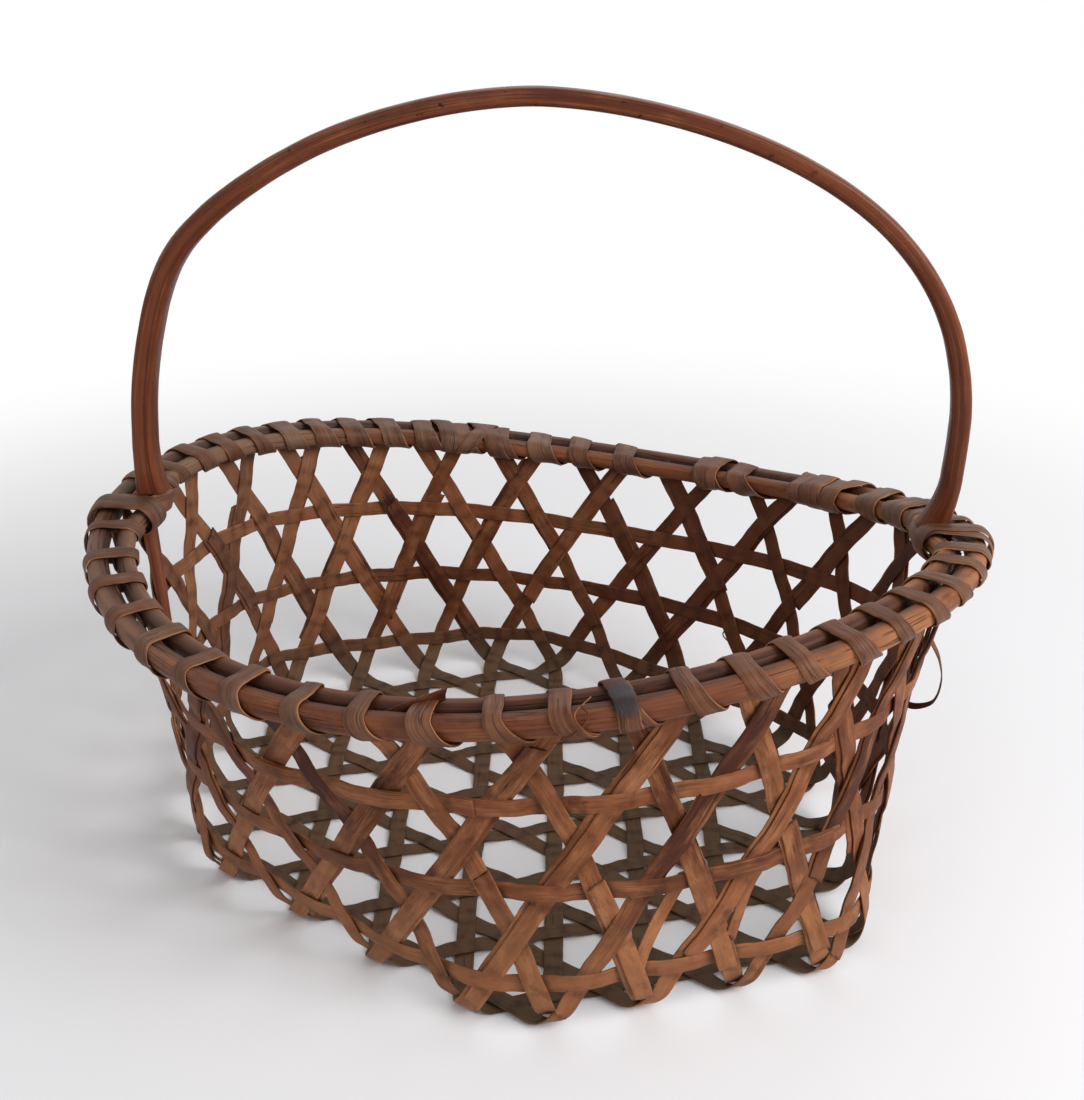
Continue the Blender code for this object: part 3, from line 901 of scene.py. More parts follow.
@dataclass
class RimLashing:
    """One flat splint wound over both rods, once in every opening of the weave.

    Each unevenness is a size in columns or shares, and its slowest wave in turns. That of a wrap's
    column counts in lengths of the wrap.
    """

    width: float = 0.0092
    thick: float = 0.00095
    clear: float = 0.00045
    start: float = 10.0
    turn: float = -0.5
    foot_miss: float = 0.31
    foot_slope: float = 0.6
    straight: float = -0.12
    row: float = 3.47
    pass_below: float = 0.0008
    corner: float = math.radians(22.5)
    stations: int = 56
    bare_column: float = 9.15
    bare_shift: float = 0.16
    bare_reach: float = 0.5
    broad_back: float = 0.42
    back_from: float = 0.05
    back_reach: float = 0.09
    uneven_column: Pair = (0.022, 3.1)
    uneven_width: Pair = (0.13, 2.3)
    uneven_twist: Pair = (0.10, 0.8)
    puff: float = 0.00042
    puff_wave: float = 1.7
    puff_raise: float = 0.9
    under_from: float = 0.22
    under_reach: float = 0.2
    cup: float = 0.00042
    ragged: float = 0.03
    wrap_column: Pair = (0.03, 1.3)
    wrap_broad: float = 0.6
    wrap_cuts: Pair = (0.0015, 0.0015)
    wraps: tuple[Wrap, ...] = ()

    def bottoms(self) -> Array:
        """Columns where it passes under the rods, without the two that the handle's feet fill."""
        columns = self.start + self.turn * np.arange(round(FORM.columns / abs(self.turn)))
        return columns[~np.isin(np.mod(columns, FORM.columns), RIM.feet)]

    def centred(self, column: Array) -> Array:
        """Column of the rods right above the middle of a weave opening.

        Args:
            column: Columns of the openings.

        Returns:
            The columns, moved along the rim by each opening's lean.
        """
        middle, _, edge = RIM.middle(column)
        below = middle - RIM.frame(None, column)[2] * (RIM.outer_radius + self.pass_below)
        span = RIM.middle(column + FORM.step)[0] - RIM.middle(column - FORM.step)[0]
        width = np.linalg.norm(span, axis=-1) / (2 * FORM.step)
        return column + ((FORM.wall(column, self.row) - below) * edge).sum(-1) / width

    def loop(self) -> Array:
        """Shares of the loop's length where each of its five runs starts, and the end.

        Returns:
            Six shares from 0 to 1.
        """
        skin = self.clear + self.thick / 2
        span = 2 * RIM.slot_half + RIM.outer_radius + RIM.inner_radius
        lengths = np.array([span / 2, np.pi * (RIM.outer_radius + skin), span,
                            np.pi * (RIM.inner_radius + skin), span / 2])
        return np.concatenate([[0], np.cumsum(lengths)]) / lengths.sum()

    def columns(self, share: Array) -> Array:
        """Column at each share of each turn: square over the top, leaning on both faces.

        Args:
            share: Shares of one turn, from below the rods and round the outside.

        Returns:
            One row per turn.
        """
        bottoms = self.bottoms()
        here, there = bottoms[:-1, None], bottoms[1:, None]
        start, end = self.centred(here), self.centred(there)
        top = (start + end) / 2
        for foot in RIM.feet:
            away = np.mod(here - foot, FORM.columns)
            top = np.where(away < here - there, here - away + self.foot_miss, top)
        beside = FORM.beside(top, self.bare_column)
        top = top + self.bare_shift * np.sign(beside) * np.exp(-(beside / self.bare_reach) ** 2)

        marks = self.loop()
        outer, inner = (marks[k + 1] - marks[k] for k in (1, 3))
        rising = marks[2] - outer * self.corner / np.pi
        falling = marks[3] + inner * self.corner / np.pi
        under = marks[4] - inner * self.corner / np.pi
        share = share[None, :]
        up = bridge(start, top, self.straight * rising, 0, np.minimum(share / rising, 1))
        part = np.clip((share - falling) / (1 - falling), 0, 1)
        down = bridge(top, end, 0, self.straight * (1 - falling), part)
        slope = self.foot_slope * (end - top)
        part = np.clip((share - falling) / (under - falling), 0, 1)
        swing = bridge(top, end, slope, slope, part)
        late = np.where(here - there > abs(self.turn), swing, down)
        return np.where(share < rising, up, np.where(share > falling, late, top))

    def hull(self, column: Array, share: Array, lift: float = 0.0) -> tuple[Array, Array]:
        """Place on the loop round both rods: two half circles joined by straight runs.

        Args:
            column: Places round the rim.
            share: Share of the loop's length, from below the rods and round the outside.
            lift: Extra distance from the rods.

        Returns:
            Points of the strip's middle and outward directions.
        """
        skin = self.clear + self.thick / 2 + lift
        marks = self.loop()
        angle = np.interp(share, marks, np.radians([-90, -90, 90, 90, 270, 270]))[..., None]
        late = (share - marks[4]) / (1 - marks[4])
        run = np.where(share > marks[4], 1 - late / 2, np.interp(share, marks[:5], [0.5, 0, 0, 1, 1]))
        run = run[..., None]
        frames = zip(RIM.frame(Rod.OUTER, column), RIM.frame(Rod.INNER, column))
        centre, out, up = (outer * (1 - run) + inner * run for outer, inner in frames)
        radius = (RIM.outer_radius + skin) * (1 - run) + (RIM.inner_radius + skin) * run
        normal = np.cos(angle) * unit(out) + np.sin(angle) * unit(up)
        return centre + radius * normal, normal

    def back(self, points: Array) -> Array:
        """Share of the way from the rim's sides to its back, from 0 to 1."""
        return ease((points[:, 1] - self.back_from) / self.back_reach)

    def build(self, finish: Material) -> Piece:
        """Builds the whole lashing as one strip.

        Args:
            finish: Its material.

        Returns:
            The object.
        """
        share = np.arange(self.stations) / self.stations
        column = self.columns(share)
        turns = column.shape[0]
        wound = (np.arange(turns)[:, None] + share[None, :]).ravel()
        share = np.tile(share, turns)
        centre, normal = self.hull(column.ravel() + waver(801, wound, *self.uneven_column), share)
        puff = self.puff * np.maximum(wander(802, wound, self.puff_wave) + self.puff_raise, 0)
        centre = centre + normal * puff[:, None]
        heading = unit(np.gradient(centre, axis=0))
        twist = waver(803, wound, *self.uneven_twist)
        normal = unit(normal + unit(np.cross(normal, heading)) * twist[:, None])
        uneven = waver(804, wound, *self.uneven_width)
        width = self.width * (1 + uneven + self.broad_back * self.back(centre))
        # painted shade: marked darker where the strip runs below the rods
        under = ease((np.abs(share - 0.5) - self.under_from) / self.under_reach)
        strip = Ribbon(centre, normal, heading, width, self.thick, 810, 0.5 * under, self.ragged, self.cup)
        return strip.build("wound_rim_lashing", finish, "rim_lashing", "rim_lashing")

    def extra(self, finish: Material) -> list[Piece]:
        """Builds the extra wraps that lie over the lashing.

        Args:
            finish: Their material.

        Returns:
            The objects.
        """
        pieces = []
        for order, wrap in enumerate(self.wraps):
            part = np.linspace(0, 1, round(self.stations * (wrap.shares[1] - wrap.shares[0])))
            share, column = (first + (last - first) * part for first, last in (wrap.shares, wrap.columns))
            column = column + waver(840 + order, part, *self.wrap_column)
            centre, normal = self.hull(column, share, wrap.lift)
            heading = unit(np.gradient(centre, axis=0))
            width = wrap.width * (1 + self.wrap_broad * self.broad_back * self.back(centre))
            strip = Ribbon(centre, normal, heading, width, self.thick, 860 + 20 * order,
                           ragged=self.ragged, cup=self.cup, cuts=self.wrap_cuts)
            pieces.append(strip.build(f"extra_wrap_{order + 1}", finish, "rim_lashing"))
        return pieces


@dataclass
class BentHandle:
    """The carved and bent handle: thin tails inside the wall, a shoulder over the rim, a tall bow.

    Tail, neck and shoulder are each a width and a thickness. Carved, flats and uneven_tone are
    each a share and the length in metres of its slowest wave.
    """

    tail: Pair = (0.0090, 0.0030)
    neck: Pair = (0.0130, 0.0060)
    shoulder: Pair = (0.0125, 0.0165)
    flare_power: float = 2.4
    bow_shares: tuple[float, ...] = (0, 0.15, 0.30, 0.45, 0.60, 0.80, 0.90, 1)
    bow_widths: tuple[float, ...] = (0.0146, 0.0137, 0.0122, 0.0111, 0.0105, 0.0105, 0.0110, 0.0122)
    bow_thicks: tuple[float, ...] = (0.0120, 0.0112, 0.0099, 0.0090, 0.0085, 0.0085, 0.0091, 0.0102)
    left_inset: float = 0.0014
    inset_reach: float = 0.3
    left_corner: float = 0.0036
    corner_place: float = 0.16
    corner_reach: float = 0.1
    right_lean: float = 0.0018
    foot_stretch: float = 0.05
    shoulder_power: float = 1.4
    shoulder_shares: tuple[float, ...] = (0, 0.12, 0.28, 0.48, 0.72)
    shoulder_inset: float = 0.0125
    shoulder_under: float = 0.0060
    shoulder_rise: float = 0.0075
    bow_rise: float = 0.0370
    half_span: float = 0.2068
    shift: float = 0.0037
    springs: Pair = (0.1791, 0.1999)
    top: float = 0.3879
    power_along: float = 1.74
    power_up: float = 3.05
    bow_stations: int = 40
    tail_row: float = 2.25
    tail_top_row: float = 3.45
    tail_lean: Pair = (0.45, 0.10)
    tail_clear: float = 0.0013
    squareness: float = 3.3
    sides: int = 28
    middle_lean: float = 0.45
    least_inset: float = 0.3
    carved: Pair = (0.03, 0.11)
    flats: Pair = (0.02, 0.05)
    uneven_tone: Pair = (0.3, 0.3)
    girth: float = 0.032
    upright_fade: float = 0.03

    def feet(self) -> Array:
        """Middle of the rim bundle at the left foot and at the right one."""
        return FORM.rim_point(np.array(RIM.feet))

    def level(self) -> Array:
        """Level direction from the left foot to the right one."""
        left, right = self.feet()
        return unit(np.array([*(right - left)[:2], 0]))

    def foot(self, column: float, row: float, thick: float) -> Array:
        """Middle of the tail or neck, just inside the woven wall.

        Args:
            column: Place round the wall.
            row: Place up the wall.
            thick: Thickness of the tail there.

        Returns:
            The point.
        """
        at, rows = np.array([column]), np.array([row])
        outward = FORM.outward(at, rows) if row < self.tail_top_row else RIM.middle(at)[1]
        return (FORM.wall(at, rows) - outward * (HALF_LAYER + self.tail_clear + thick / 2))[0]

    def root(self, side: int) -> Array:
        """Stations of one tail and neck from the tip up, to where it meets the shoulder.

        Args:
            side: 0 for the left leg and 1 for the right.

        Returns:
            Centre, width and thickness in each row.
        """
        column, lean = RIM.feet[side], self.tail_lean[side]
        half = [(low + high) / 2 for low, high in zip(self.tail, self.neck)]
        middle_row = (self.tail_row + self.tail_top_row) / 2
        rows = ((self.tail_row, lean, *self.tail), (middle_row, lean * self.middle_lean, *half),
                (self.tail_top_row, 0, *self.neck), (FORM.rows_to_rim, 0, *self.neck))
        stations = [[*self.foot(column + shift, row, thick), width, thick]
                    for row, shift, width, thick in rows]
        high = [*stations[-1][:2], self.feet()[side, 2] + self.shoulder_under, *self.neck]
        return catmull(np.array([*stations, high]), 8)

    def bow_line(self, share: Array) -> Array:
        """Middle of the bent bow: a quarter of an uneven oval on either side of its top.

        Args:
            share: Places from the left leg to the right one, from 0 to 1.

        Returns:
            Points in the upright plane through both feet.
        """
        feet = self.feet()
        side = (share > 0.5).astype(int)
        spring = np.array(self.springs)[side]
        height = self.top - spring
        first = np.arcsin(((feet[side, 2] + self.bow_rise - spring) / height) ** (self.power_up / 2))
        turn = first + (np.pi / 2 - first) * (1 - np.abs(2 * share - 1))
        reach = np.abs(np.cos(turn)) ** (2 / self.power_along) * self.half_span * (2 * side - 1)
        middle = feet.mean(0) + self.level() * (reach + self.shift)[:, None]
        middle[:, 2] = spring + np.sin(turn) ** (2 / self.power_up) * height
        return middle

    def bow(self) -> Array:
        """The bow from the left shoulder to the right: bow_line moved level by three small bends.

        Returns:
            Centre, width and thickness in each row.
        """
        place = np.arange(self.bow_stations + 1) / self.bow_stations
        inset = self.left_inset * ease(1 - place / self.inset_reach)
        inset = inset * (self.least_inset + (1 - self.least_inset) * ease(place / self.foot_stretch))
        corner = self.left_corner * ease(1 - np.abs(place - self.corner_place) / self.corner_reach)
        lean = self.right_lean * np.maximum((place - 1 + self.foot_stretch) / self.foot_stretch, 0) ** 2
        line = self.bow_line(place) + self.level() * (inset - corner - lean)[:, None]
        sizes = [np.interp(place, self.bow_shares, values) for values in (self.bow_widths, self.bow_thicks)]
        return np.column_stack([line, *sizes])

    def stations(self) -> Array:
        """Every station from the left tip over the bow to the right tip.

        Returns:
            Centre, width and thickness in each row.
        """
        bow = self.bow()
        rest = 1 - np.array(self.shoulder_shares)[:, None]
        upper = []
        for side, joint in enumerate((bow[0], bow[-1])):
            start, end = joint[:3], joint[3:]
            middle, outward, _ = RIM.middle(np.array([RIM.feet[side]]))
            ledge = (middle - outward * self.shoulder_inset)[0] + np.array([0, 0, self.shoulder_rise])
            shoulder = np.array([max(self.shoulder[0], end[0]), self.shoulder[1]])
            quick = end + (shoulder - end) * rest ** self.flare_power
            edge = (shoulder * rest + end * (1 - rest) - quick)[:, 1:] / 2
            path = start + (ledge - start) * rest ** self.shoulder_power
            path[:, 2:] = start[2] + (ledge[2] - start[2]) * rest
            upper.append(np.concatenate([path + self.level() * (2 * side - 1) * edge, quick], 1))
        over = catmull(np.vstack([upper[0], bow, upper[1][::-1]]), 10)
        return np.vstack([self.root(0), over, self.root(1)[::-1]])

    def build(self, finish: Material) -> Piece:
        """Builds the handle as one carved rod: a squarish section, upright at the feet.

        Args:
            finish: Its material.

        Returns:
            The object.
        """
        rows = self.stations()
        centre, width, thick = rows[:, :3], rows[:, 3:4], rows[:, 4:]
        along = travelled(centre)
        rising = np.array([0, 0, 1]) * np.where(np.arange(len(rows)) < len(rows) / 2, 1, -1)[:, None]
        above = centre[:, 2:] - self.feet()[:, 2].mean() - self.bow_rise
        low = 1 - ease(above / self.upright_fade)
        heading = unit(rising * low + unit(np.gradient(centre, axis=0)) * (1 - low))
        across = np.broadcast_to(np.cross(self.level(), [0, 0, 1]), centre.shape)
        turn, wide, high = squarish(self.sides, self.squareness)
        carved = 1 + waver(850, along, *self.carved)[:, None] * np.cos(turn * 2)
        flats = 1 + waver(851, along, *self.flats)[:, None] * np.cos(turn * 3 + 1)
        rings = set_out(centre, across, unit(np.cross(heading, across)), wide * width / 2 * carved,
                        high * thick / 2 * flats)
        marks = {"edge": (np.abs(wide) * np.abs(high))[None, :],
                 "tone": 0.5 + waver(852, along, *self.uneven_tone)[:, None]}
        sweep = Sweep(rings, along, np.linspace(0, self.girth, self.sides + 1), False, marks)
        return sweep.build("carved_handle", finish, "handle", "handle")


class Wire:
    """One value running through a material's nodes; arithmetic on it adds Math nodes."""

    def __init__(self, board: "Board", socket: bpy.types.NodeSocket) -> None:
        """Keeps the board and the output socket."""
        self.board = board
        self.socket = socket

    def math(self, operation: str, *others: "Wire | float", swap: bool = False) -> "Wire":
        """Adds a Math node.

        Args:
            operation: Name of the node's operation.
            others: Its further inputs.
            swap: Whether this value is the second input.

        Returns:
            The result.
        """
        values = [self, *others]
        if swap:
            values[:2] = values[1::-1]
        return self.board.add("ShaderNodeMath", {"operation": operation}, dict(enumerate(values)))

    def __add__(self, other: "Wire | float") -> "Wire":
        """Sum."""
        return self.math("ADD", other)

    def __sub__(self, other: "Wire | float") -> "Wire":
        """Difference."""
        return self.math("SUBTRACT", other)

    def __rsub__(self, other: "Wire | float") -> "Wire":
        """Difference from a number."""
        return self.math("SUBTRACT", other, swap=True)

    def __mul__(self, other: "Wire | float") -> "Wire":
        """Product."""
        return self.math("MULTIPLY", other)

    __radd__ = __add__
    __rmul__ = __mul__

    def rise(self, low: float, high: float) -> "Wire":
        """Smooth step from 0 at low to 1 at high; it falls where high is below low."""
        step = self.board.add("ShaderNodeMapRange", {"interpolation_type": "SMOOTHSTEP"},
                              {0: self, 1: min(low, high), 2: max(low, high), 3: 0.0, 4: 1.0})
        return step if low < high else 1 - step

    def lines(self, level: float, width: float, cloud: "Wire", fade: Pair) -> "Wire":
        """Thin lines where this value passes a level, shown only where a cloud is thick."""
        return (1 - (self - level).math("ABSOLUTE").rise(0.0, width)) * cloud.rise(*fade)


Value = Wire | float | Sequence[float]


class Board:
    """The nodes of a material, or of the surroundings."""

    def __init__(self, owner: Material | bpy.types.World, shader: str = "Principled BSDF") -> None:
        """Turns the owner's nodes on and keeps the shader that they start with."""
        owner.use_nodes = True
        self.owner, self.tree, self.shader = owner, owner.node_tree, owner.node_tree.nodes[shader]

    def feed(self, node: bpy.types.Node, sockets: dict[int | str, Value]) -> None:
        """Links wires to a node's inputs and sets its plain values.

        Args:
            node: The node.
            sockets: Values or wires by input name or number.
        """
        for key, value in sockets.items():
            socket = node.inputs[key]
            if isinstance(value, Wire):
                self.tree.links.new(value.socket, socket)
            else:
                socket.default_value = (*value, 1) if socket.type == "RGBA" else value

    def add(self, kind: str, settings: dict[str, str | bool], sockets: dict[int | str, Value],
            output: int | str = 0) -> Wire:
        """Adds any node: its settings first, then its inputs.

        Args:
            kind: The node's type.
            settings: Its own settings, such as an operation.
            sockets: Values or wires by input name or number.
            output: Name or number of the output to return.

        Returns:
            That output.
        """
        node = self.tree.nodes.new(kind)
        for key, value in settings.items():
            setattr(node, key, value)
        self.feed(node, sockets)
        return Wire(self, node.outputs[output])

    def mark(self, name: str) -> Wire:
        """A number kept on the piece's points."""
        return self.add("ShaderNodeAttribute", {"attribute_name": name}, {}, "Fac")

    def spot(self) -> Wire:
        """The piece's own coordinates in space, in metres."""
        return self.add("ShaderNodeTexCoord", {}, {}, "Object")

    def axis(self, name: str) -> Wire:
        """One of the piece's own coordinates in space, in metres."""
        return self.add("ShaderNodeSeparateXYZ", {}, {0: self.spot()}, name)

    def vector(self, operation: str, sockets: dict[int | str, Value], output: int | str = 0) -> Wire:
        """Adds a Vector Math node."""
        return self.add("ShaderNodeVectorMath", {"operation": operation}, sockets, output)

    def noise(self, where: Wire, detail: float, rough: float, twist: float = 0.0) -> Wire:
        """Cloudy noise between 0 and 1, one cloud for each unit of its coordinates."""
        sockets = {"Vector": where, "Scale": 1.0, "Detail": detail, "Roughness": rough, "Distortion": twist}
        return self.add("ShaderNodeTexNoise", {}, sockets)

    def clouds(self, rate: float, detail: float, rough: float) -> Wire:
        """Noise in space, with a rate per metre."""
        return self.noise(self.vector("SCALE", {0: self.spot(), "Scale": rate}), detail, rough)

    def streaks(self, rates: Pair, detail: float, rough: float, twist: float = 0.0) -> Wire:
        """Noise drawn out along the grain, with a rate per metre along it and one across."""
        grain = self.add("ShaderNodeUVMap", {"uv_map": "grain"}, {})
        return self.noise(self.vector("MULTIPLY", {0: grain, 1: (*rates, 0)}), detail, rough, twist)

    def blend(self, share: Wire | float, first: Wire | Colour, second: Wire | Colour) -> Wire:
        """Mixes two colours by a share."""
        return self.add("ShaderNodeMix", {"data_type": "RGBA", "clamp_factor": True},
                        {0: share, 6: first, 7: second}, 2)

    def lay(self, colour: Wire, *coats: tuple[Wire, Wire | Colour]) -> Wire:
        """Lays coats over a colour one by one.

        Args:
            colour: The colour below.
            coats: The share and the colour of each coat.

        Returns:
            The colour on top.
        """
        for share, coat in coats:
            colour = self.blend(share, colour, coat)
        return colour

    def finish(self, colour: Wire, roughness: Wire, bumps: Wire, depth: float, specular: float,
               coat: float = 0.0) -> Material:
        """Feeds the shader.

        Args:
            colour: Base colour.
            roughness: Roughness.
            bumps: Height of the surface, in units of depth.
            depth: Metres for each unit of that height.
            specular: Specular level, the same all over.
            coat: Coat weight, the same all over.

        Returns:
            The material.
        """
        sockets = {"Height": bumps, "Distance": depth, "Strength": 1.0}
        normal = self.add("ShaderNodeBump", {}, sockets, "Normal")
        self.feed(self.shader, {"Base Color": colour, "Roughness": roughness, "Normal": normal,
                                "Specular IOR Level": specular, "Coat Weight": coat,
                                "Coat Roughness": 0.25})
        return self.owner


def deeper(colour: Colour, share: float) -> Colour:
    """A colour with each channel cut to a share."""
    return tuple(channel * share for channel in colour)


@dataclass(frozen=True)
class SplintFinish:
    """Aged bare splint: long fibres, dark pores, worn paler edges, and dust low down, most inside."""

    name: str
    dark: Colour
    middle: Colour
    light: Colour
    worn: Colour
    dust: Colour = (0.100, 0.070, 0.042)
    # pale grey tan, painted where the key lamp lights the inner faces at the left
    grey_tan: Colour = (0.250, 0.140, 0.085)
    dusty: float = 0.85
    warmth: float = 0.75
    rough: float = 0.52
    specular: float = 0.13
    depth: float = 0.00028

    def make(self) -> Material:
        """Builds the material: a ground of streaks, and coats for painted light, wear, painted shade and
        dirt.

        Returns:
            The material.
        """
        board = Board(bpy.data.materials.new(self.name))
        fibre = board.streaks((26, 1300), 5, 0.62)
        band = board.streaks((5.5, 210), 3, 0.5, 0.15)
        blot = board.streaks((48, 150), 4, 0.62)
        pores = board.streaks((60, 3800), 3, 0.6).rise(0.62, 0.72)
        cloud = board.clouds(26, 4, 0.6)
        tone, edge, dirt_and_shade, face = (board.mark(name) for name in ("tone", "edge", "dirt_and_shade", "face"))
        inner, x, height = 1.0 - face, board.axis("X"), board.axis("Z")
        deep = deeper(self.dark, 0.30)
        ground = (band * 0.45 + blot * 0.55 + tone * 0.42 - 0.2).rise(0.20, 0.72)
        shine = (blot * 0.5 + fibre * 0.3 + cloud * 0.4 + tone * 0.10).rise(0.60, 0.86)
        lines = band.lines(0.47, 0.011, cloud, (0.47, 0.60))
        rub = (edge + fibre * 0.16).rise(1.00, 1.12) * cloud.rise(0.40, 0.64)
        warm = face * height.rise(0.100, 0.030) * self.warmth
        low = height.rise(0.045, 0.004) * (1.0 - face * 0.85) * self.dusty
        specks = board.clouds(160, 4, 0.6).rise(0.35, 0.70)
        stain = board.clouds(75, 6, 0.62).rise(0.56, 0.72)
        colour = board.lay(
            board.blend(ground, self.dark, self.middle),
            # paler streaks as a painted highlight, fainter on the inner faces as painted shade
            (shine * (face * 0.45 + 0.55) * 0.85, self.light),
            (pores * 0.35 + lines * 0.85, deep),
            (rub * 0.55, self.worn),
            # painted shade: inner faces darker towards the right
            (inner * x.rise(-0.20, 0.14) * 0.62, self.dark),
            # painted shade: outer faces darker at the left
            (face * x.rise(-0.06, -0.15) * 0.32, self.dark),
            # painted light: inner faces paler and greyer at the left, where the key lamp lights them
            (inner * x.rise(-0.10, -0.19) * blot * 0.6, self.grey_tan),
            (warm * (blot * 0.8 + 0.2), self.light),
            (low * (fibre * 0.4 + 0.62), self.dust),
            # real stains, and dirt with painted shade beside crossings, all darker
            (stain * 0.45 + dirt_and_shade * (specks * 0.42 + 0.16), deep))
        rough = fibre * 0.22 + (self.rough - 0.08) + low * 0.12
        bumps = fibre * 0.5 + band * 0.5 + blot * 0.3 - pores * 0.4 - lines * 1.2
        return board.finish(colour, rough, bumps, self.depth, self.specular)


@dataclass(frozen=True)
class RodFinish:
    """Split and shaved rod: fine straight grain, grey at the left, a painted highlight at the right,
    painted shade in the slot.
    """

    name: str = "rim_rod_wood"
    dark: Colour = (0.056, 0.014, 0.006)
    middle: Colour = (0.185, 0.056, 0.021)
    light: Colour = (0.400, 0.160, 0.062)
    grey_tan: Colour = (0.200, 0.122, 0.076)
    rough: float = 0.40
    specular: float = 0.20
    depth: float = 0.0004

    def make(self) -> Material:
        """Builds the material: a ground of streaks, and coats for light, weather, a painted highlight at
        the right, painted shade in the slot, and stains.

        Returns:
            The material.
        """
        board = Board(bpy.data.materials.new(self.name))
        fibre = board.streaks((16, 1200), 5, 0.6)
        band = board.streaks((5, 300), 3, 0.5, 0.1)
        blot = board.streaks((30, 120), 4, 0.6)
        cloud = board.clouds(30, 4, 0.6)
        tone, slot, x = board.mark("tone"), board.mark("slot"), board.axis("X")
        ground = (band * 0.5 + blot * 0.5 + tone * 0.3 - 0.12).rise(0.25, 0.68)
        shine = (fibre * 0.4 + cloud * 0.3 + blot * 0.4).rise(0.56, 0.80)
        lines = band.lines(0.5, 0.014, cloud, (0.42, 0.56))
        old = x.rise(-0.08, -0.19) * (blot * 0.7 + 0.45)
        # painted highlight: paler patches on the right, where the key lamp falls
        painted_highlight_right = x.rise(0.10, 0.18) * (blot + cloud).rise(0.66, 1.10)
        stain = board.clouds(45, 5, 0.6).rise(0.56, 0.72)
        colour = board.lay(
            board.blend(ground, self.dark, self.middle),
            (shine * 0.8, self.light),
            (old * 0.8, self.grey_tan),
            (painted_highlight_right * 0.8, self.light),
            # grain lines and stains, and painted shade on the faces in the slot between the rods
            (lines * 0.7 + slot * 0.75 + stain * 0.4, deeper(self.dark, 0.35)))
        bumps = fibre * 0.6 + band * 0.7 + blot * 0.4 - lines
        return board.finish(colour, fibre * 0.2 + self.rough, bumps, self.depth, self.specular)


@dataclass(frozen=True)
class LashFinish:
    """Wound splint: greyer at the left, the right and the back, partly worn grey and partly a painted
    sheen, orange worn edges, one dark patch.
    """

    name: str = "rim_lashing_wood"
    dark: Colour = (0.048, 0.015, 0.007)
    middle: Colour = (0.128, 0.045, 0.020)
    grey: Colour = (0.200, 0.115, 0.075)
    tan: Colour = (0.215, 0.088, 0.042)
    worn: Colour = (0.400, 0.165, 0.066)
    patch: Colour = (0.022, 0.021, 0.024)
    patch_column: float = 0.70
    patch_above: float = 0.006
    patch_reach: float = 0.0100
    patch_fade: float = 0.003
    rough: float = 0.36
    specular: float = 0.17
    depth: float = 0.00030

    def make(self) -> Material:
        """Builds the material: a ground of streaks, and coats for light with a painted sheen, lines, wear,
        painted shade below the rods, and patch.

        Returns:
            The material.
        """
        board = Board(bpy.data.materials.new(self.name))
        fibre = board.streaks((26, 1500), 5, 0.62)
        band = board.streaks((9, 200), 3, 0.5, 0.15)
        cloud = board.clouds(34, 4, 0.6)
        tone, edge, dirt_and_shade = (board.mark(name) for name in ("tone", "edge", "dirt_and_shade"))
        x, y = board.axis("X"), board.axis("Y")
        ground = (band * 0.9 + tone * 0.3 - 0.1).rise(0.25, 0.75)
        # greyer at the left, the right and the back: partly wear, partly a painted sheen
        grey_wear_and_sheen = x.rise(0.06, -0.13) + x.rise(0.14, 0.20) + y.rise(0.06, 0.16) * 0.6
        lines = band.lines(0.47, 0.016, cloud, (0.4, 0.55))
        rub = (edge + fibre * 0.2).rise(0.99, 1.12) * cloud.rise(0.38, 0.58)
        rod = RIM.frame(Rod.OUTER, np.array([self.patch_column]))[0][0] - np.array(FORM.origin)
        middle = tuple(rod + np.array([0, 0, self.patch_above]))
        away = board.vector("DISTANCE", {0: board.spot(), 1: middle}, "Value") + cloud * 0.006
        colour = board.lay(
            board.blend(ground, self.dark, self.middle),
            ((fibre * 0.6 + cloud * 0.6).rise(0.50, 0.78) * 0.8, board.blend(grey_wear_and_sheen, self.tan, self.grey)),
            (lines * 0.7, deeper(self.dark, 0.35)),
            (rub * 0.85, self.worn),
            # painted shade where the strip runs below the rods
            (dirt_and_shade * 0.5, deeper(self.dark, 0.5)),
            (away.rise(self.patch_reach + self.patch_fade, self.patch_reach) * 0.85, self.patch))
        bumps = fibre * 0.6 + band * 0.6 - lines * 0.8
        return board.finish(colour, fibre * 0.2 + self.rough, bumps, self.depth, self.specular)


@dataclass(frozen=True)
class HandleFinish:
    """Dark hardwood, polished by hands: red-brown with long grain and near-black spots."""

    name: str = "handle_wood"
    dark: Colour = (0.070, 0.016, 0.006)
    middle: Colour = (0.165, 0.041, 0.014)
    light: Colour = (0.290, 0.096, 0.040)
    spot: Colour = (0.010, 0.004, 0.003)
    rough: float = 0.30
    specular: float = 0.17
    coat: float = 0.02
    depth: float = 0.00025

    def make(self) -> Material:
        """Builds the material: a ground of streaks, and coats for light, shade, spots and pores.

        Returns:
            The material.
        """
        board = Board(bpy.data.materials.new(self.name))
        fibre = board.streaks((12, 1100), 5, 0.6)
        band = board.streaks((4, 260), 3, 0.5, 0.1)
        cloud = board.clouds(40, 4, 0.6)
        height = board.axis("Z")
        shaded = board.axis("X").rise(0.15, 0.22) * height.rise(0.30, 0.22)
        spots = board.clouds(150, 2, 0.5).rise(0.66, 0.72) * height.rise(0.345, 0.375)
        pores = board.streaks((40, 2600), 3, 0.6).rise(0.62, 0.70)
        colour = board.lay(
            board.blend(band.rise(0.30, 0.68), self.dark, self.middle),
            ((fibre * 0.8 + cloud * 0.35).rise(0.54, 0.80) * 0.8, self.light),
            (shaded * 0.45, self.dark),
            (spots * 0.9 + pores * 0.5, self.spot))
        bumps = fibre * 0.5 + band * 0.7 - pores * 0.5
        return board.finish(colour, fibre * 0.16 + self.rough, bumps, self.depth, self.specular, self.coat)


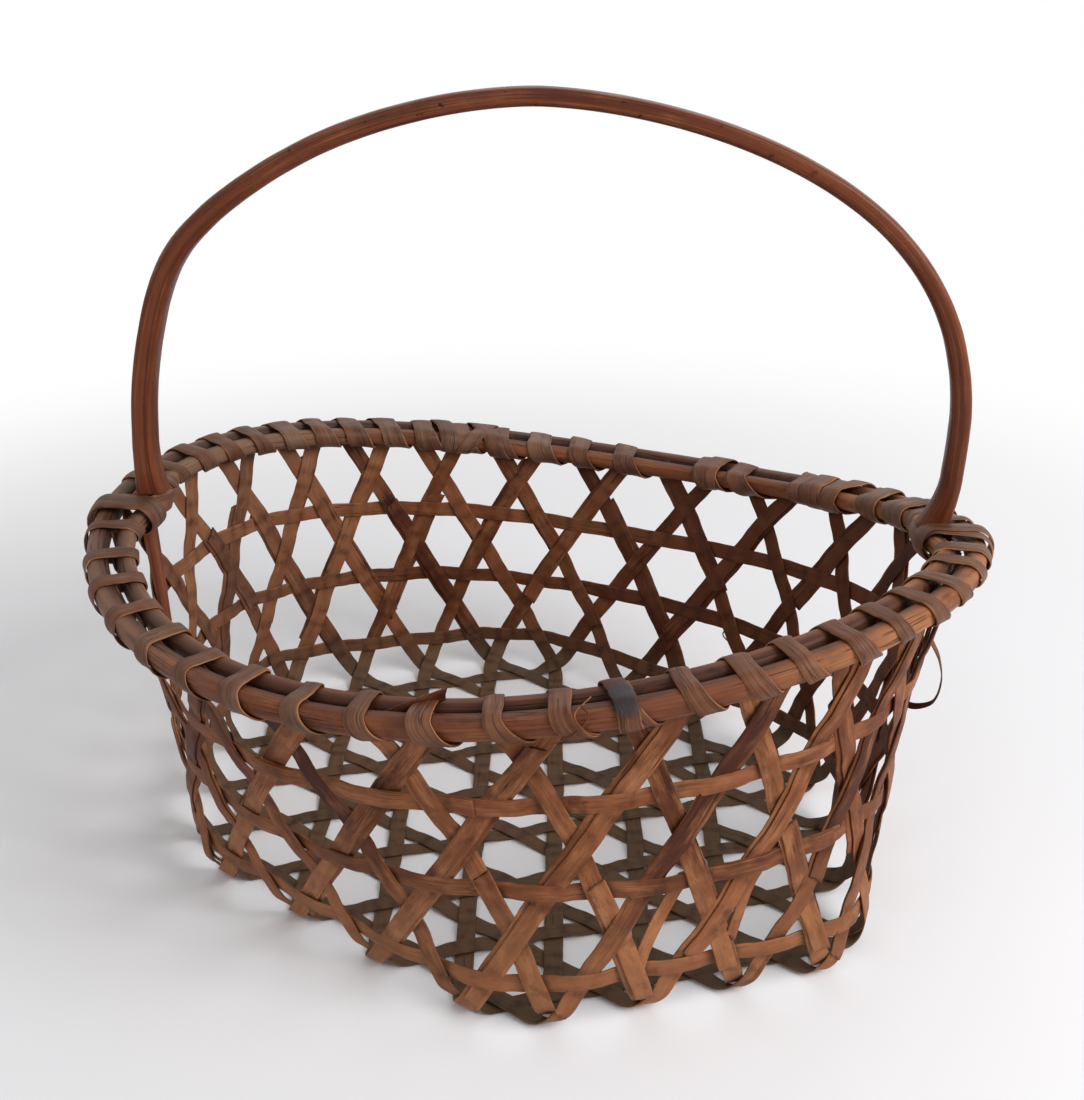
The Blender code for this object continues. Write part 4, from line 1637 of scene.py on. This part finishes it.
@dataclass
class Studio:
    """Pale floor, white surroundings, three soft lamps and the camera of the photograph."""

    floor_half: float = 12.0
    floor_fade: Pair = (0.42, 0.95)
    floor_colour: Colour = (0.84, 0.835, 0.85)
    sky_strength: float = 0.46
    aim: Place = (0, 0, 0.12)
    camera_place: Place = (0.1056, -0.6508, 0.4716)
    camera_turn: float = 8.67
    camera_down: float = 25.04
    focal_pixels: float = 1400.0
    picture_width: float = 1084.0

    def floor(self) -> None:
        """Builds the plain floor on which the basket rests; far off it shows as plain white."""
        mesh = bpy.data.meshes.new("pale_floor")
        reach = self.floor_half
        corners = [(-reach, -reach, 0), (reach, -reach, 0), (reach, reach, 0), (-reach, reach, 0)]
        mesh.from_pydata(corners, [], [(0, 1, 2, 3)])
        board = Board(bpy.data.materials.new("pale_floor_paint"))
        board.feed(board.shader, {"Base Color": self.floor_colour, "Roughness": 0.9,
                                  "Specular IOR Level": 0.1})
        far = board.vector("LENGTH", {0: board.spot()}, "Value").rise(*self.floor_fade)
        seen = board.add("ShaderNodeLightPath", {}, {}, "Is Camera Ray")
        white = board.add("ShaderNodeEmission", {}, {"Color": (1.0, 1.0, 1.0), "Strength": 1.0})
        paint = Wire(board, board.shader.outputs[0])
        mixed = board.add("ShaderNodeMixShader", {}, {0: far * seen, 1: paint, 2: white})
        board.feed(board.tree.nodes["Material Output"], {"Surface": mixed})
        mesh.materials.append(board.owner)
        floor = bpy.data.objects.new("pale_floor", mesh)
        bpy.context.scene.collection.objects.link(floor)
        floor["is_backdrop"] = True

    def lamp(self, name: str, place: Place, size: float, power: float) -> None:
        """Adds a square area lamp that points at the middle of the basket.

        Args:
            name: Its name.
            place: Where it stands.
            size: Length of its sides.
            power: Its power in watts.
        """
        light = bpy.data.lights.new(name, "AREA")
        light.size, light.energy = size, power
        lamp = bpy.data.objects.new(name, light)
        lamp.location = place
        x, y, z = np.array(self.aim) - np.array(place)
        lamp.rotation_euler = (math.atan2(math.hypot(x, y), -z), 0, math.atan2(y, x) - math.pi / 2)
        bpy.context.scene.collection.objects.link(lamp)

    def sky(self) -> None:
        """White surroundings: full white to the camera and in reflections, softer as light."""
        board = Board(bpy.data.worlds.new("white_room"), "Background")
        seen, mirrored, through = (board.add("ShaderNodeLightPath", {}, {}, f"Is {kind} Ray")
                                   for kind in ("Camera", "Glossy", "Transmission"))
        shown = seen.math("MAXIMUM", mirrored).math("MAXIMUM", through)
        ends = {"Value": shown, "To Min": self.sky_strength, "To Max": 1.0}
        strength = board.add("ShaderNodeMapRange", {}, ends)
        board.feed(board.shader, {"Color": (1, 1, 1), "Strength": strength})
        bpy.context.scene.world = board.owner

    def camera(self) -> None:
        """The camera at the photograph's viewing angle."""
        data = bpy.data.cameras.new("photo_camera")
        data.sensor_fit = "HORIZONTAL"
        data.sensor_width = 36.0
        data.lens = self.focal_pixels * data.sensor_width / self.picture_width
        data.clip_start = 0.01
        camera = bpy.data.objects.new("photo_camera", data)
        camera.location = self.camera_place
        camera.rotation_euler = (math.radians(90 - self.camera_down), 0, math.radians(self.camera_turn))
        bpy.context.scene.collection.objects.link(camera)
        bpy.context.scene.camera = camera

    def build(self) -> None:
        """Sets up the whole studio."""
        self.floor()
        self.sky()
        self.lamp("key_lamp", (1.45, -0.60, 1.25), 1.1, 31)
        self.lamp("fill_lamp", (-0.6, -1.3, 1.5), 1.3, 5)
        self.lamp("back_lamp", (0.2, 1.5, 1.5), 1.4, 5)
        self.camera()
        bpy.context.scene.view_settings.view_transform = "Standard"


FINISHES = {
    Family.FRONT_BACK: SplintFinish("front_back_splint_wood", (0.062, 0.016, 0.006),
                                    (0.205, 0.068, 0.026), (0.420, 0.180, 0.078), (0.520, 0.250, 0.105)),
    Family.RIGHT_SLANT: SplintFinish("right_slant_splint_wood", (0.050, 0.012, 0.005),
                                     (0.172, 0.051, 0.018), (0.360, 0.140, 0.058), (0.480, 0.220, 0.092)),
    Family.LEFT_SLANT: SplintFinish("left_slant_splint_wood", (0.056, 0.014, 0.006),
                                    (0.188, 0.058, 0.022), (0.385, 0.155, 0.066), (0.500, 0.235, 0.098)),
}
HOOP_FINISH = SplintFinish("hoop_wood", (0.058, 0.015, 0.006), (0.185, 0.056, 0.021),
                           (0.360, 0.148, 0.062), (0.490, 0.230, 0.095), rough=0.50)
HOOPS = (
    Hoop("hoop_lower", 0.5, Face.INSIDE, 17.2, 1.6),
    Hoop("hoop_middle", 1.5, Face.OUTSIDE, 1.7, 1.6),
    Hoop("hoop_upper", 2.5, Face.INSIDE, 21.6, 2.0),
)
LAYERS = (
    Layer(Family.FRONT_BACK, 5, -3.4, -0.55, slip=0.0012, loose=(0, 0.0012)),
    Layer(Family.FRONT_BACK, 6, -3.2, -0.45, slip=0.0014, loose=(0, 0.0014)),
    Layer(Family.FRONT_BACK, 7, -4.1, -0.80, slip=-0.0012, loose=(0, 0.0010)),
    Layer(Family.FRONT_BACK, 8, -3.6, -0.75, slip=0.0013, loose=(0, 0.0010)),
    Layer(Family.RIGHT_SLANT, 5, -3.5, -0.35, slip=0.0012, loose=(0, 0.0012)),
    Layer(Family.LEFT_SLANT, 1, -7.1, -0.3, slip=-0.0019),
    Layer(Family.LEFT_SLANT, 2, -7.1, -1.2, slip=0.0018),
    Layer(Family.LEFT_SLANT, 3, -7.1, -2.3, slip=0.0017),
    Layer(Family.LEFT_SLANT, 4, -7.1, -0.4, slip=-0.0016),
    Layer(Family.FRONT_BACK, 4, -7.1, -0.4, slip=0.0018),
    Layer(Family.FRONT_BACK, 3, -6.4, 0.5, slip=-0.0016),
    Layer(Family.FRONT_BACK, 6, 14.8, 20.1, Face.INSIDE, 0.0014, loose=(0.0012, 0)),
    Layer(Family.FRONT_BACK, 8, 12.8, 16.0, Face.INSIDE, 0.0030, loose=(0.0016, 0)),
    Layer(Family.FRONT_BACK, 4, 17.4, 22.1, Face.INSIDE, 0.0012, loose=(0.0012, 0)),
    Layer(Family.RIGHT_SLANT, 3, 17.3, 20.1, Face.INSIDE, 0.0042, loose=(0.0010, 0)),
)
LOOSE_ENDS = (
    LooseEnd("loose_stub_front", Family.FRONT_BACK,
             ((1.62, 1.55, -0.0022), (1.46, 1.15, -0.0020), (1.34, 0.80, -0.0006), (1.28, 0.58, 0.0014)),
             0.0066),
    LooseEnd("loose_stub_right", Family.FRONT_BACK,
             ((2.55, 1.62, -0.0022), (2.36, 1.25, -0.0018), (2.28, 0.92, -0.0004), (2.24, 0.74, 0.0010)),
             0.0056),
    LooseEnd("loose_curl_right", Family.LEFT_SLANT,
             ((5.35, 2.72, 0.0018), (5.50, 2.52, 0.0090), (5.56, 2.28, 0.0140), (5.54, 2.06, 0.0130),
              (5.66, 1.92, 0.0050), (5.90, 1.90, 0.0012)), 0.0034, 0.0006, (0.0002, 0.0010)),
    LooseEnd("chip_between_rods", Family.RIGHT_SLANT,
             ((22.90, 3.58, 0.0000), (23.10, 3.70, -0.0020), (23.34, 3.76, -0.0070)), 0.0062),
    LooseEnd("torn_fibre_low", Family.FRONT_BACK,
             ((0.18, 3.50, 0.0130), (0.30, 3.62, 0.0150), (0.40, 3.74, 0.0120), (0.34, 3.82, 0.0080)),
             0.0007, 0.0003, (0, 0)),
    LooseEnd("torn_fibre_high", Family.FRONT_BACK,
             ((0.50, 3.56, 0.0140), (0.38, 3.66, 0.0155), (0.30, 3.78, 0.0110), (0.42, 3.84, 0.0050)),
             0.0006, 0.0003, (0, 0)),
    LooseEnd("torn_fibre_back", Family.FRONT_BACK,
             ((9.35, 1.62, -0.0020), (9.22, 1.50, -0.0050), (9.25, 1.36, -0.0060), (9.12, 1.25, -0.0040)),
             0.0008, 0.0003, (0, 0)),
)
WRAPS = (
    Wrap((12.62, 12.02), (0.18, 1.10)),
    Wrap((12.20, 12.75), (0.10, 0.95), 0.0080),
    Wrap((13.05, 12.80), (0.12, 1.02), 0.0090),
    Wrap((5.80, 5.68), (0.03, 1.03), 0.0135, 0.0028),
    Wrap((5.52, 5.74), (0.06, 0.98), 0.0092, 0.0016),
    Wrap((18.42, 18.28), (0.08, 1.02), 0.0140, 0.0030),
    Wrap((17.62, 17.52), (0.03, 1.02), 0.0092, 0.0004),
    Wrap((0.72, 0.66), (0.16, 0.98), 0.0098, 0.0012),
    Wrap((8.62, 8.30), (0.06, 1.02), 0.0104, 0.0014),
    Wrap((8.05, 8.22), (0.10, 0.96), 0.0096, 0.0018),
    Wrap((7.72, 7.50), (0.05, 1.00), 0.0100, 0.0014),
    Wrap((9.62, 9.76), (0.08, 0.97), 0.0098, 0.0014),
    Wrap((7.10, 6.98), (0.06, 0.99), 0.0092, 0.0014),
)


def drawn_layers(taken: Sequence[Layer]) -> list[Layer]:
    """Splices on most of the other splint ends, drawn with fixed seeds.

    Args:
        taken: Layers that are placed already.

    Returns:
        Further layers, none on an end that has one.
    """
    full = {(layer.family, layer.number, layer.start > 4) for layer in taken}
    weaving, layers = Weaving(), []
    for order, family, number in SPLINTS:
        steps = weaving.path(family, number).steps
        for late in (False, True):
            draw = np.random.default_rng(5000 + 100 * order + 10 * number + late)
            chance, low, high = draw.uniform(), draw.uniform(0.4, 3.0), draw.uniform(5.0, 7.15)
            slip = draw.uniform(0.0014, 0.0029) * draw.choice([-1, 1])
            face = Face.OUTSIDE if draw.uniform() < 0.5 else Face.INSIDE
            if chance < 0.18 or (family, number, late) in full:
                continue
            ends = (steps + low, steps + high) if late else (-high, -low)
            layers.append(Layer(family, number, *ends, face, slip, draw.uniform(0.0082, 0.0098)))
    return layers


def main() -> None:
    """Builds the basket's sub-assemblies in order and reports each piece."""
    logging.basicConfig(level=logging.INFO, format="%(message)s")
    finishes = {family: finish.make() for family, finish in FINISHES.items()}
    weaving = Weaving((*LAYERS, *drawn_layers(LAYERS)), HOOPS)
    pieces = weaving.splints(finishes) + weaving.spliced(finishes)
    pieces += [end.build(order, finishes[end.family]) for order, end in enumerate(LOOSE_ENDS)]
    pieces += weaving.hooped(HOOP_FINISH.make())
    pieces += RimRods().build(RodFinish().make())
    lashing, wrapped = RimLashing(wraps=WRAPS), LashFinish().make()
    pieces += [lashing.build(wrapped), *lashing.extra(wrapped)]
    pieces.append(BentHandle().build(HandleFinish().make()))
    for piece in pieces:
        LOG.info("%s: %d faces", piece.name, len(piece.data.polygons))
    Studio().build()
    [[list(map(float, corner)) for corner in box] for box in (CAD_BOX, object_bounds())]


if __name__ == "__main__":
    main()
